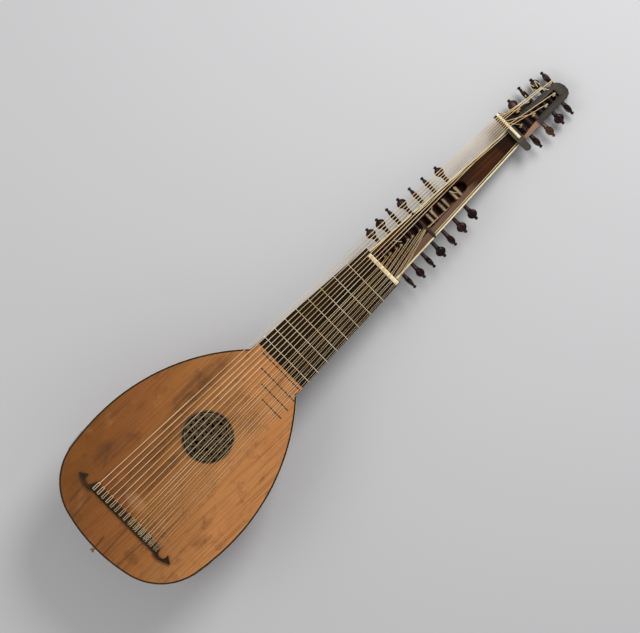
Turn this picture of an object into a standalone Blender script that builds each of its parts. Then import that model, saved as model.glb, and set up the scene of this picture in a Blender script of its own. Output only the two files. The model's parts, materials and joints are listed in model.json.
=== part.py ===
"""A theorboed lute with six double stopped courses and eight single diapasons.

Every piece is built in the lute's own axes: X to the treble side, Y from the bridge to the
head, Z out of the soundboard, with the front edge of the bridge at Y 0 and the top of the
soundboard at Z 0. One empty then lays the whole lute down as it rests, on its bowl and on
the back of its upper pegbox.
"""

import math

import bmesh
import bpy
import numpy as np
from mathutils import Matrix, Vector

# Clearances, in metres like every size here
GAP = 0.0003
TURN_CLEARANCE = 0.00028
STRING_SEAT = 0.0004

# Body outline: five arcs, from the tail to the neck
STRING_LENGTH = 0.628
BODY_WIDTH = 0.333
WIDEST_Y = 0.090
TAIL_Y = -0.087
TAIL_RADIUS = 0.324
CORNER_RADIUS = 0.111
LOWER_SIDE_RADIUS = 0.495
UPPER_SIDE_RADIUS = 0.397

# Bowl
BOWL_DEPTH = 0.150
RIBS = 13
RIB_THICK = 0.0018
CLASP_THICK = 0.0012
CLASP_HEIGHT = 0.022
CLASP_END_HEIGHT = 0.005
CLASP_END_Y = 0.045
BLOCK_LENGTH = 0.040

# Soundboard
BOARD_THICK = 0.0022
LIP_THICK = 0.0007
BINDING_WIDTH = 0.0026
ROSE_RADIUS = 0.0475
ROSE_OPEN_RADIUS = 0.0415
ROSE_SEAT = 0.0030
ROSE_Y = 0.197
BAR_WIDTH = 0.005
BAR_HEIGHT = 0.014
BAR_END_HEIGHT = 0.005
LOWER_BARS = (0.052, 0.100)
BAR_FROM_ROSE = 0.0065
BAR_FROM_BLOCK = 0.0230
BAR_ROOM = 0.004
LAST_FRET = 12
BODY_FRET_BASS_X = 0.0204
BODY_FRET_TREBLE_X = 0.0690
BODY_FRET_BASS_STEP = 0.0207
BODY_FRET_TREBLE_STEP = 0.0023
BODY_FRET_MARGIN = 0.0036
BODY_FRET_WIDTH = 0.0019
BODY_FRET_HEIGHT = 0.0009

# Neck, fingerboard and frets
NECK_WIDTH_BODY = 0.1175
NECK_WIDTH_NUT = 0.0875
NECK_DEPTH_BODY = 0.034
NECK_DEPTH_NUT = 0.027
NECK_FACETS = 10
FINGERBOARD_INSET = 0.0010
FINGERBOARD_START = 0.380
FRET_RADIUS = 0.0005
NAIL_RADIUS = 0.0024
NAIL_HEAD_RADIUS = 0.0050
NAIL_HEAD_LENGTH = 0.0030
NAIL_IN_NECK = 0.032
NAIL_DEPTH = 0.0155

# Bridge
BRIDGE_WIDTH = 0.1655
BRIDGE_LENGTH = 0.0185
BRIDGE_HEIGHT = 0.0080
BRIDGE_BLOCK = 0.0130
BRIDGE_LEDGE_HEIGHT = 0.0030
BRIDGE_EASE = 0.0012
STRING_HOLE_HEIGHT = 0.0048
BRIDGE_END_OVERLAP = 0.0040
SCROLL_REACH = 0.0335
SCROLL_TIP_Y = -0.0110
SCROLL_HOOK_OUT = 0.0190
SCROLL_HOOK_Y = -0.0015
SCROLL_EYE_OUT = 0.0105
SCROLL_EYE_Y = -0.0065
SCROLL_EYE = 0.0085
SCROLL_SAG = 0.0030
SCROLL_THICK = 0.0042

# Nuts
NUT_LENGTH = 0.0078
NUT_TOP = 0.0030
NUT_BASS_X = -0.0300
NUT_TREBLE_X = 0.0425
HIGH_NUT_FROM_NUT = 0.3397
HIGH_NUT_LENGTH = 0.0052
HIGH_NUT_HEIGHT = 0.0040
HIGH_NUT_BASS_X = -0.0500
HIGH_NUT_TREBLE_X = 0.0090

# Extension with the lower pegbox
EXTENSION_FROM_NUT = 0.3465
EXTENSION_WIDTH_START = 0.071
EXTENSION_WIDTH_END = 0.0335
EXTENSION_DEPTH_START = 0.027
EXTENSION_DEPTH_END = 0.0185
EXTENSION_EDGE = 0.007
BASS_CHEEK = 0.0120
TREBLE_CHEEK = 0.0155
TREBLE_CHEEK_AT_NUT = 0.0098
PEGBOX_START = 0.0030
PEGBOX_END_FROM_NUT = 0.2170
PEGBOX_NARROWS_FROM_NUT = 0.1000
PEGBOX_CROWN = 0.0106
PEGBOX_FLOOR = -0.0190
PEGBOX_COVE = 0.0050
EDGING_WIDTH = 0.0026
EDGING_THICK = 0.0012
CROSSBAR_FROM_NUT = 0.1110
CROSSBAR_WIDTH = 0.0046
CROSSBAR_THICK = 0.0030
CROSSBAR_LEAN = 0.0010

# Upper pegbox
HEAD_TOP = 0.0060
HEAD_BACK = -0.0160
HEAD_FLOOR = -0.0105
HEAD_BASS_X = -0.0220
HEAD_TREBLE_X = 0.0190
HEAD_TAPER = 0.0030
HEAD_LENGTH = 0.1197
HEAD_BASS_CHEEK = 0.0095
HEAD_BASS_CHEEK_AT_NUT = 0.0060
HEAD_TREBLE_CHEEK = 0.0120
HEAD_TREBLE_CHEEK_AT_NUT = 0.0070
HEAD_SPLAY = 0.0450
HEAD_CROWN = 0.0125
HEAD_CROWN_SKEW = 0.0020
HEAD_END_WALL = 0.0030
HEAD_TOP_WALL = 0.0200
NUT_BLOCK_TOP = 0.0120
NUT_BLOCK_FROM_NUT = 0.3343
NUT_BLOCK_TREBLE_X = 0.0368
SHOULDER_TOP = -0.0112
SHOULDER_LENGTH = 0.058
SHOULDER_SET_IN = 0.0045
SHOULDER_CURVE = 0.9
BURIED = 0.0040

# Tuning pegs
PEG_SIDES = 8
PEG_RADIUS = 0.0036
PEG_TAPER = 0.016
PEG_END = 0.0008
PEG_STEM_RADIUS = 0.0042
PEG_COLLAR_RADIUS = 0.0053
PEG_COLLAR_LENGTH = 0.0016
PEG_HEAD_LENGTH = 0.0165
PEG_HEAD_BREADTH = 0.0194
PEG_HEAD_THICK = 0.0092
PEG_BUTTON_RADIUS = 0.0034
PEG_BUTTON_LENGTH = 0.0045
PEG_HOLE_SIDES = 8
LOWER_PEG_Z = -0.0085
LOWER_PEG_FROM_NUT = 0.0225
LOWER_PEG_PITCH = 0.0241
LOWER_PEG_SPREAD = 0.00056
LOWER_PEG_STAGGER = 0.0100
LOWER_PEG_PAIRS = 7
UPPER_PEG_Z = -0.0006
UPPER_PEG_FROM_NUT = 0.3595
UPPER_PEG_PITCH = 0.0160
UPPER_PEG_CLOSING = 0.0004
UPPER_PEGS = 8

# Strings
DIAPASONS = 8
COURSES = 6
DIAPASON_RADIUS_LOW = 0.00070
DIAPASON_RADIUS_HIGH = 0.00055
COURSE_RADIUS_LOW = 0.00048
COURSE_RADIUS_HIGH = 0.00026
BRIDGE_BASS_X = -0.0763
BRIDGE_DIAPASON_PITCH = 0.01097
BRIDGE_COURSE_X = 0.0136
BRIDGE_COURSE_PITCH = 0.0128
BRIDGE_PAIR_GAP = 0.0050
NUT_COURSE_X = -0.0022
NUT_COURSE_PITCH = 0.0083
NUT_PAIR_GAP = 0.0027
HIGH_NUT_STRING_X = -0.0450
HIGH_NUT_STRING_PITCH = 0.00383
WINDING_TURNS = 2
WINDING_POINTS = 8
WINDING_SPACE = 0.0006
STRING_HOLE_CLEARANCE = 0.00040
LOOP_SPACE = 0.0006

# End button
BUTTON_RADIUS = 0.0045
BUTTON_SHANK = 0.0025
BUTTON_REACH = 0.0075
BUTTON_IN = 0.0080
BUTTON_Z = -0.0120

# Values worked out from the sizes above
HALF_BODY = BODY_WIDTH / 2
BOARD_UNDER = -BOARD_THICK
RIM_Z = BOARD_UNDER - GAP
NECK_END = STRING_LENGTH + NUT_LENGTH + 0.001
EXTENSION_START = NECK_END + GAP
UPPER_CENTRE_X = HALF_BODY - UPPER_SIDE_RADIUS
NECK_JOINT = WIDEST_Y + math.sqrt(UPPER_SIDE_RADIUS**2 - (NECK_WIDTH_BODY / 2 - UPPER_CENTRE_X) ** 2)
EXTENSION_END = STRING_LENGTH + EXTENSION_FROM_NUT
PEGBOX_END = STRING_LENGTH + PEGBOX_END_FROM_NUT
CROSSBAR_Y = STRING_LENGTH + CROSSBAR_FROM_NUT
NUT_BLOCK_START = STRING_LENGTH + NUT_BLOCK_FROM_NUT
HIGH_NUT_Y = STRING_LENGTH + HIGH_NUT_FROM_NUT
LOWER_PEG_START = STRING_LENGTH + LOWER_PEG_FROM_NUT
UPPER_PEG_START = STRING_LENGTH + UPPER_PEG_FROM_NUT
HEAD_START = EXTENSION_END + GAP
HEAD_END = HEAD_START + HEAD_LENGTH
CUT_REACH = 2 * BODY_WIDTH + STRING_LENGTH


def clear_scene():
    for thing in list(bpy.data.objects):
        bpy.data.objects.remove(thing, do_unlink=True)


clear_scene()
PARTS = bpy.data.collections.new("theorboed_lute")
CUTTERS = bpy.data.collections.new("cutters")
bpy.context.scene.collection.children.link(PARTS)
bpy.context.scene.collection.children.link(CUTTERS)
REST = bpy.data.objects.new("rest_frame", None)
PARTS.objects.link(REST)


# Helpers: materials, objects and joining


def material(name, colour, roughness, metallic=0.0):
    made = bpy.data.materials.get(name)
    if made:
        return made
    made = bpy.data.materials.new(name)
    made.use_nodes = True
    shader = made.node_tree.nodes["Principled BSDF"]
    shader.inputs["Base Color"].default_value = (*colour, 1.0)
    shader.inputs["Roughness"].default_value = roughness
    shader.inputs["Metallic"].default_value = metallic
    return made


def spruce():
    return material("aged_spruce", (0.50, 0.27, 0.11), 0.45)


def rib_wood():
    return material("rib_maple", (0.20, 0.085, 0.032), 0.35)


def dark_wood():
    return material("ebonised_wood", (0.022, 0.014, 0.010), 0.35)


def head_wood():
    return material("walnut", (0.115, 0.055, 0.035), 0.4)


def peg_wood():
    return material("plum_wood", (0.075, 0.028, 0.025), 0.35)


def ivory():
    return material("bone", (0.80, 0.74, 0.56), 0.35)


def gut():
    return material("gut", (0.72, 0.62, 0.42), 0.4)


def brass():
    return material("brass", (0.62, 0.45, 0.20), 0.3, 1.0)


def iron():
    return material("iron", (0.10, 0.09, 0.09), 0.5, 1.0)


def add(name, data, finish=None, smooth_degrees=None):
    """Links a new part, or a hidden cutter when it has no finish."""
    thing = bpy.data.objects.new(name, data)
    if finish is None:
        CUTTERS.objects.link(thing)
        thing.hide_render = True
        thing.display_type = "WIRE"
    else:
        PARTS.objects.link(thing)
        data.materials.append(finish)
        if smooth_degrees is not None:
            data.shade_smooth()
            data.set_sharp_from_angle(angle=math.radians(smooth_degrees))
    thing.parent = REST
    return thing


def boolean(target, cutter, operation):
    step = target.modifiers.new(f"{operation.lower()}_{cutter.name}", "BOOLEAN")
    step.operation = operation
    step.solver = "EXACT"
    step.object = cutter


def cut(target, *cutters):
    for cutter in cutters:
        boolean(target, cutter, "DIFFERENCE")


def fuse(target, *others):
    for other in others:
        boolean(target, other, "UNION")


def outward(mesh_data):
    bm = bmesh.new()
    bm.from_mesh(mesh_data)
    bmesh.ops.remove_doubles(bm, verts=bm.verts, dist=1e-7)
    bmesh.ops.recalc_face_normals(bm, faces=bm.faces)
    bm.to_mesh(mesh_data)
    bm.free()
    return mesh_data


def loft(name, rings):
    """A closed mesh through rings of points that all have the same count."""
    bm = bmesh.new()
    rows = [[bm.verts.new(point) for point in ring] for ring in rings]
    count = len(rows[0])
    for low, high in zip(rows, rows[1:]):
        for k in range(count):
            nxt = (k + 1) % count
            bm.faces.new((low[k], low[nxt], high[nxt], high[k]))
    bm.faces.new(rows[0])
    bm.faces.new(rows[-1])
    made = bpy.data.meshes.new(name)
    bm.to_mesh(made)
    bm.free()
    return outward(made)


def box(name, low, high):
    """A block from its lowest to its highest corner."""
    bm = bmesh.new()
    size = Vector(high) - Vector(low)
    centre = (Vector(high) + Vector(low)) / 2
    place = Matrix.Translation(centre) @ Matrix.Diagonal((*size, 1.0))
    bmesh.ops.create_cube(bm, size=1.0, matrix=place)
    made = bpy.data.meshes.new(name)
    bm.to_mesh(made)
    bm.free()
    return made


def cone(name, start, end, start_radius, end_radius, sides):
    """A solid cone or rod between two points, with a flat side turned to the top."""
    start, end = Vector(start), Vector(end)
    along = end - start
    turn = along.to_track_quat("Z", "Y").to_matrix().to_4x4()
    bm = bmesh.new()
    bmesh.ops.create_cone(
        bm,
        cap_ends=True,
        segments=sides,
        radius1=start_radius,
        radius2=end_radius,
        depth=along.length,
        matrix=Matrix.Translation((start + end) / 2) @ turn,
    )
    made = bpy.data.meshes.new(name)
    bm.to_mesh(made)
    bm.free()
    return made


def joined(name, meshes):
    """One mesh that holds several separate closed shells, for use as a cutter."""
    bm = bmesh.new()
    for part in meshes:
        bm.from_mesh(part)
    made = bpy.data.meshes.new(name)
    bm.to_mesh(made)
    bm.free()
    return made


def plate(name, loops, low_z, high_z):
    """A flat plate: the first loop is its outline, and each further loop is a hole."""
    curve = bpy.data.curves.new(name, "CURVE")
    curve.dimensions = "2D"
    curve.fill_mode = "BOTH"
    curve.extrude = (high_z - low_z) / 2
    for points in loops:
        spline = curve.splines.new("POLY")
        spline.points.add(len(points) - 1)
        for point, (x, y) in zip(spline.points, points):
            point.co = (x, y, 0.0, 1.0)
        spline.use_cyclic_u = True
    flat = bpy.data.objects.new(name, curve)
    PARTS.objects.link(flat)
    bpy.context.view_layer.update()
    made = bpy.data.meshes.new_from_object(flat.evaluated_get(bpy.context.evaluated_depsgraph_get()))
    bpy.data.objects.remove(flat)
    made.transform(Matrix.Translation((0.0, 0.0, (low_z + high_z) / 2)))
    bm = bmesh.new()
    bm.from_mesh(made)
    bmesh.ops.remove_doubles(bm, verts=bm.verts, dist=1e-6)
    bmesh.ops.recalc_face_normals(bm, faces=bm.faces)
    bm.to_mesh(made)
    bm.free()
    return made


def tube_mesh(name, points, radius, sides_level, closed):
    """A round bar along a polyline, as a closed mesh that can be cut or joined."""
    curve = tube_curve(name, points, radius, sides_level, closed)
    bar = bpy.data.objects.new(name, curve)
    PARTS.objects.link(bar)
    bpy.context.view_layer.update()
    made = bpy.data.meshes.new_from_object(bar.evaluated_get(bpy.context.evaluated_depsgraph_get()))
    bpy.data.objects.remove(bar)
    return outward(made)


def tube_curve(name, points, radius, sides_level, closed=False):
    curve = bpy.data.curves.new(name, "CURVE")
    curve.dimensions = "3D"
    curve.bevel_depth = radius
    curve.bevel_resolution = sides_level
    curve.use_fill_caps = not closed
    spline = curve.splines.new("POLY")
    spline.points.add(len(points) - 1)
    for point, co in zip(spline.points, points):
        point.co = (*co, 1.0)
    spline.use_cyclic_u = closed
    return curve


# The body's shape: one outline of arcs, and the bowl's depth along it


def arc(centre, radius, start, end, steps):
    """Points of an arc, angles in radians, without its last point."""
    angles = [start + (end - start) * k / steps for k in range(steps)]
    return [(centre[0] + radius * math.cos(a), centre[1] + radius * math.sin(a)) for a in angles]


def corner_centre():
    """Centre of the corner arc that touches the tail arc and the lower side arc from inside."""
    side = Vector((HALF_BODY - LOWER_SIDE_RADIUS, WIDEST_Y))
    tail = Vector((0.0, TAIL_Y + TAIL_RADIUS))
    to_side = LOWER_SIDE_RADIUS - CORNER_RADIUS
    to_tail = TAIL_RADIUS - CORNER_RADIUS
    across = tail - side
    along = (across.length_squared + to_side**2 - to_tail**2) / (2 * across.length)
    off = math.sqrt(max(to_side**2 - along**2, 0.0))
    unit = across.normalized()
    first = side + unit * along + Vector((unit.y, -unit.x)) * off
    second = side + unit * along - Vector((unit.y, -unit.x)) * off
    return first if first.y < second.y else second


def outline(inset=0.0, past_joint=0.0):
    """The treble half of the body's outline, tail to neck joint, moved in by the inset."""
    corner = corner_centre()
    tail = Vector((0.0, TAIL_Y + TAIL_RADIUS))
    side = Vector((HALF_BODY - LOWER_SIDE_RADIUS, WIDEST_Y))
    tail_angle = math.atan2(corner.y - tail.y, corner.x - tail.x)
    side_angle = math.atan2(corner.y - side.y, corner.x - side.x)
    points = arc(tail, TAIL_RADIUS - inset, -math.pi / 2, tail_angle, 5)
    points += arc(corner, CORNER_RADIUS - inset, tail_angle, side_angle, 6)
    points += arc(side, LOWER_SIDE_RADIUS - inset, side_angle, 0.0, 2)
    radius = UPPER_SIDE_RADIUS - inset
    last = math.asin((NECK_JOINT + past_joint - WIDEST_Y) / radius)
    points += arc((UPPER_CENTRE_X, WIDEST_Y), radius, 0.0, last, 10)
    points.append((UPPER_CENTRE_X + radius * math.cos(last), NECK_JOINT + past_joint))
    return points


def depth_ratio(y):
    """Depth of the bowl as a share of its half-width: deep at the belly, flatter at the neck."""
    deep = BOWL_DEPTH / HALF_BODY
    flat = NECK_DEPTH_BODY / (NECK_WIDTH_BODY / 2)
    share = min(max((y - WIDEST_Y) / (NECK_JOINT - WIDEST_Y), 0.0), 1.1)
    return deep + (flat - deep) * share**2


def bowl_ring(half_width, y, rise):
    """A section of the bowl: one corner for each joint between two ribs."""
    half_width = max(half_width, 0.0015)
    depth = half_width * depth_ratio(y)
    turns = [math.pi * k / RIBS for k in range(RIBS + 1)]
    ring = [(half_width * math.cos(a), y, -depth * math.sin(a)) for a in turns]
    if rise:
        ring += [(-half_width, y, rise), (half_width, y, rise)]
    return ring


def bowl_solid(name, inset=0.0, past_joint=0.0, rise=0.0):
    return loft(name, [bowl_ring(w, y, rise) for w, y in outline(inset, past_joint)])


def bowl_half_width(y, z, inset):
    """Half-width of the bowl at a height below the soundboard, inside a wall."""
    rise = UPPER_SIDE_RADIUS - inset
    lower = LOWER_SIDE_RADIUS - inset
    if y >= WIDEST_Y:
        half = UPPER_CENTRE_X + math.sqrt(rise**2 - (y - WIDEST_Y) ** 2)
    else:
        half = HALF_BODY - LOWER_SIDE_RADIUS + math.sqrt(lower**2 - (y - WIDEST_Y) ** 2)
    depth = half * depth_ratio(y)
    return half * math.sqrt(max(1.0 - (z / depth) ** 2, 0.0))


def both_sides(points):
    """The whole outline from its treble half, which starts on the centre line."""
    return points + [(-x, y) for x, y in reversed(points) if x > 1e-6]


def neck_half_width(y):
    share = (y - NECK_JOINT) / (NECK_END - NECK_JOINT)
    return (NECK_WIDTH_BODY + (NECK_WIDTH_NUT - NECK_WIDTH_BODY) * share) / 2


def neck_depth(y):
    share = (y - NECK_JOINT) / (NECK_END - NECK_JOINT)
    return NECK_DEPTH_BODY + (NECK_DEPTH_NUT - NECK_DEPTH_BODY) * share


def neck_ring(y):
    """The round back of the neck, from treble edge to bass edge, in the plane of one y."""
    half, depth = neck_half_width(y), neck_depth(y)
    first = math.asin(-RIM_Z / depth)
    turns = [first + (math.pi - 2 * first) * k / NECK_FACETS for k in range(NECK_FACETS + 1)]
    return [(half * math.cos(a), y, -depth * math.sin(a)) for a in turns]


def extension_half_width(y):
    share = (y - EXTENSION_START) / (EXTENSION_END - EXTENSION_START)
    return (EXTENSION_WIDTH_START + (EXTENSION_WIDTH_END - EXTENSION_WIDTH_START) * share) / 2


def extension_depth(y):
    share = (y - EXTENSION_START) / (EXTENSION_END - EXTENSION_START)
    return EXTENSION_DEPTH_START + (EXTENSION_DEPTH_END - EXTENSION_DEPTH_START) * share


def head_bass_x(y):
    return HEAD_BASS_X + HEAD_TAPER * (y - HEAD_START) / HEAD_LENGTH


def head_treble_x(y):
    return HEAD_TREBLE_X - HEAD_TAPER * (y - HEAD_START) / HEAD_LENGTH


# Body


def make_bowl():
    bowl = add("bowl", bowl_solid("bowl"), rib_wood(), 8)
    hollow = add("bowl_hollow", bowl_solid("bowl_hollow", RIB_THICK, 0.02, 0.01))
    low, high = (-CUT_REACH, -CUT_REACH, RIM_Z), (CUT_REACH, CUT_REACH, CUT_REACH)
    above = add("bowl_rim_cut", box("bowl_rim_cut", low, high))
    cut(bowl, hollow, above, button_hole())
    return bowl


def button_hole():
    made = bpy.data.objects.get("button_hole")
    if made:
        return made
    radius = (BUTTON_SHANK + GAP) / math.cos(math.pi / 10)
    start = (0.0, TAIL_Y - 0.02, BUTTON_Z)
    end = (0.0, TAIL_Y + 0.02, BUTTON_Z)
    return add("button_hole", cone("button_hole", start, end, radius, radius, 10))


def make_end_clasp():
    """The strip bent round the tail that covers the ends of the ribs."""
    clasp = add("end_clasp", bowl_solid("end_clasp", -GAP - CLASP_THICK), rib_wood(), 8)
    inner = add("clasp_hollow", bowl_solid("clasp_hollow", -GAP, 0.02, 0.01))
    tail = TAIL_Y - 0.01
    side = [
        (tail, RIM_Z),
        (CLASP_END_Y, RIM_Z),
        (CLASP_END_Y, RIM_Z - CLASP_END_HEIGHT),
        (tail, RIM_Z - CLASP_HEIGHT),
    ]
    wedge = loft("clasp_wedge", [[(x, y, z) for y, z in side] for x in (-CUT_REACH, CUT_REACH)])
    boolean(clasp, add("clasp_wedge", wedge), "INTERSECT")
    cut(clasp, inner, button_hole())
    return clasp


def make_neck_block():
    block = add("neck_block", bowl_solid("neck_block", RIB_THICK + GAP, 0.02), head_wood(), 8)
    low = (-CUT_REACH, NECK_JOINT - BLOCK_LENGTH, -CUT_REACH)
    room = add("block_room", box("block_room", low, (CUT_REACH, NECK_JOINT, RIM_Z)))
    boolean(block, room, "INTERSECT")
    cut(block, nail_hole())
    return block


def nail_hole():
    made = bpy.data.objects.get("nail_hole")
    if made:
        return made
    radius = (NAIL_RADIUS + GAP) / math.cos(math.pi / 10)
    start = (0.0, NECK_JOINT - BLOCK_LENGTH - 0.01, -NAIL_DEPTH)
    end = (0.0, NECK_JOINT + GAP + NAIL_IN_NECK + GAP, -NAIL_DEPTH)
    return add("nail_hole", cone("nail_hole", start, end, radius, radius, 10))


def make_neck_nail():
    """The iron nail that holds the neck to its block."""
    head_y = NECK_JOINT - BLOCK_LENGTH - GAP
    nail = add(
        "neck_nail",
        cone(
            "neck_nail",
            (0.0, head_y - NAIL_HEAD_LENGTH / 2, -NAIL_DEPTH),
            (0.0, NECK_JOINT + NAIL_IN_NECK, -NAIL_DEPTH),
            NAIL_RADIUS,
            NAIL_RADIUS * 0.4,
            10,
        ),
        iron(),
        40,
    )
    start = (0.0, head_y - NAIL_HEAD_LENGTH, -NAIL_DEPTH)
    end = (0.0, head_y, -NAIL_DEPTH)
    fuse(nail, add("nail_head", cone("nail_head", start, end, NAIL_HEAD_RADIUS, NAIL_HEAD_RADIUS, 10)))
    return nail


def circle(centre_y, radius, steps):
    turns = [2 * math.pi * k / steps for k in range(steps)]
    return [(radius * math.cos(a), centre_y + radius * math.sin(a)) for a in turns]


def rim_band(name, outer_inset, inner_inset, low_z, high_z, past_joint=0.0):
    """A strip that runs round the body from one side of the neck to the other."""
    outer = both_sides(outline(outer_inset, past_joint))
    inner = both_sides(outline(inner_inset, past_joint))
    half = len(outer) // 2 + 1
    ring_out = outer[half:] + outer[:half]
    ring_in = inner[half:] + inner[:half]
    return plate(name, [ring_out + list(reversed(ring_in))], low_z, high_z)


def make_soundboard():
    end = FINGERBOARD_START - GAP
    points = outline()
    points.append((neck_half_width(end), end))
    board_mesh = plate("soundboard", [both_sides(points)], BOARD_UNDER, 0.0)
    board = add("soundboard", board_mesh, spruce())
    seat_z = BOARD_UNDER + LIP_THICK
    facet = math.cos(math.pi / 36)
    opening = plate("rose_opening", [circle(ROSE_Y, ROSE_RADIUS - ROSE_SEAT, 36)], -0.01, 0.01)
    seat = plate("rose_seat", [circle(ROSE_Y, (ROSE_RADIUS + GAP) / facet, 36)], seat_z, 0.01)
    rebate = rim_band("binding_rebate", -0.002, BINDING_WIDTH + GAP, seat_z, 0.01)
    fuse(board, add("soundboard_bars", joined("soundboard_bars", [bar_mesh(y) for y in bar_places()])))
    fuse(board, add("body_frets", joined("body_frets", [body_fret(n) for n in body_frets()])))
    cut(board, add("rose_opening", opening), add("rose_seat", seat), add("binding_rebate", rebate))
    return board


def bar_places():
    """Two bars under the belly, one on each side of the rose and one before the neck block."""
    beside_rose = ROSE_RADIUS + BAR_FROM_ROSE
    upper = NECK_JOINT - BLOCK_LENGTH - BAR_FROM_BLOCK
    return (*LOWER_BARS, ROSE_Y - beside_rose, ROSE_Y + beside_rose, upper)


def bar_mesh(y):
    """A brace glued under the soundboard, with its ends scooped down."""
    full = bowl_half_width(y, RIM_Z - BAR_HEIGHT, RIB_THICK) - BAR_ROOM
    scoop = full - 0.030
    top = BOARD_UNDER + LIP_THICK / 2
    profile = [
        (full, top),
        (full, BOARD_UNDER - BAR_END_HEIGHT),
        (scoop, BOARD_UNDER - BAR_HEIGHT),
        (-scoop, BOARD_UNDER - BAR_HEIGHT),
        (-full, BOARD_UNDER - BAR_END_HEIGHT),
        (-full, top),
    ]
    rings = [[(x, y + side, z) for x, z in profile] for side in (-BAR_WIDTH / 2, BAR_WIDTH / 2)]
    return loft("bar", rings)


def fret_y(number):
    return STRING_LENGTH * 2 ** (-number / 12)


def tied_frets():
    """Numbers of the frets that lie over the fingerboard, and so are tied round the neck."""
    return [n for n in range(1, LAST_FRET + 1) if fret_y(n) > FINGERBOARD_START + BODY_FRET_WIDTH]


def body_frets():
    """Numbers of the frets that lie on the soundboard."""
    return [n for n in range(1, LAST_FRET + 1) if fret_y(n) < FINGERBOARD_START - BODY_FRET_WIDTH]


def body_fret(number):
    """A slip of wood glued on the soundboard, further to the treble side past each fret."""
    y = fret_y(number)
    past = LAST_FRET - number
    edge = UPPER_CENTRE_X + math.sqrt(UPPER_SIDE_RADIUS**2 - (y - WIDEST_Y) ** 2)
    room = max(edge - BODY_FRET_MARGIN, neck_half_width(y) - BODY_FRET_WIDTH if y > NECK_JOINT else 0.0)
    bass_x = max(BODY_FRET_BASS_X - BODY_FRET_BASS_STEP * past, -room)
    treble_x = min(BODY_FRET_TREBLE_X - BODY_FRET_TREBLE_STEP * past, room)
    low = (bass_x, y - BODY_FRET_WIDTH / 2, -LIP_THICK)
    return box("body_fret", low, (treble_x, y + BODY_FRET_WIDTH / 2, BODY_FRET_HEIGHT))


def make_edge_binding():
    low = BOARD_UNDER + LIP_THICK + GAP
    band = rim_band("edge_binding", 0.0, BINDING_WIDTH, low, 0.0, -GAP)
    return add("edge_binding", band, dark_wood())


def polar(radius, degrees):
    turn = math.radians(degrees)
    return (radius * math.sin(turn), ROSE_Y + radius * math.cos(turn))


def rose_hole(shape, turn):
    """One opening of the rose: its corners as (share of the open radius, degrees), turned."""
    return [polar(ROSE_OPEN_RADIUS * share, degrees + turn) for share, degrees in shape]


def rose_openings():
    """Openings between the straps of a six-fold knot, ring by ring from the middle."""
    sixth = range(0, 360, 60)
    core = ((0.055, 0), (0.165, -22), (0.235, 0), (0.165, 22))
    star = ((0.225, 30), (0.33, 13), (0.44, 30), (0.33, 47))
    kite = ((0.30, 0), (0.43, -12), (0.55, 0), (0.43, 12))
    wing_left = ((0.53, 29), (0.49, 14), (0.66, 6), (0.70, 18))
    wing_right = ((0.53, 31), (0.49, 46), (0.66, 54), (0.70, 42))
    gate = ((0.615, 30), (0.735, 23.5), (0.80, 30), (0.735, 36.5))
    peak = ((0.70, 0), (0.79, -8), (0.96, -7), (0.96, 7), (0.79, 8))
    side_left = ((0.765, 13), (0.80, 22.5), (0.96, 20), (0.96, 11.5))
    side_right = ((0.765, 47), (0.80, 37.5), (0.96, 40), (0.96, 48.5))
    crown = ((0.87, 30), (0.96, 24.5), (0.96, 35.5))
    holes = []
    for shape in (core, star, kite, wing_left, wing_right, gate, peak, side_left, side_right, crown):
        holes += [rose_hole(shape, turn) for turn in sixth]
    return holes


def make_rose():
    low = BOARD_UNDER + LIP_THICK + GAP
    loops = [circle(ROSE_Y, ROSE_RADIUS, 36)] + rose_openings()
    return add("rose", plate("rose", loops, low, 0.0), dark_wood())


def scroll_outline(side):
    """The curled end of the bridge in plan: a horn whose tip turns back over a round eye."""
    end = BRIDGE_WIDTH / 2
    root = end - BRIDGE_END_OVERLAP
    tip = (end + SCROLL_REACH, SCROLL_TIP_Y)
    hook = (end + SCROLL_HOOK_OUT, SCROLL_HOOK_Y)
    points = [(root, -BRIDGE_LENGTH)]
    for k in range(1, 6):
        share = k / 6
        sag = SCROLL_SAG * math.sin(math.pi * share**0.6)
        y = -BRIDGE_LENGTH + (tip[1] + BRIDGE_LENGTH) * share**2 - sag
        points.append((root + (tip[0] - root) * share, y))
    points += [tip, hook]
    eye = (end + SCROLL_EYE_OUT, SCROLL_EYE_Y)
    first = math.atan2(hook[1] - eye[1], hook[0] - eye[0]) - 0.25
    for k in range(8):
        turn = first - (first + math.pi) * k / 7
        points.append((eye[0] + SCROLL_EYE * math.cos(turn), eye[1] + SCROLL_EYE * math.sin(turn)))
    points.append((root, SCROLL_EYE_Y + SCROLL_EYE * 0.6))
    return [(side * x, y) for x, y in points]


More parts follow.
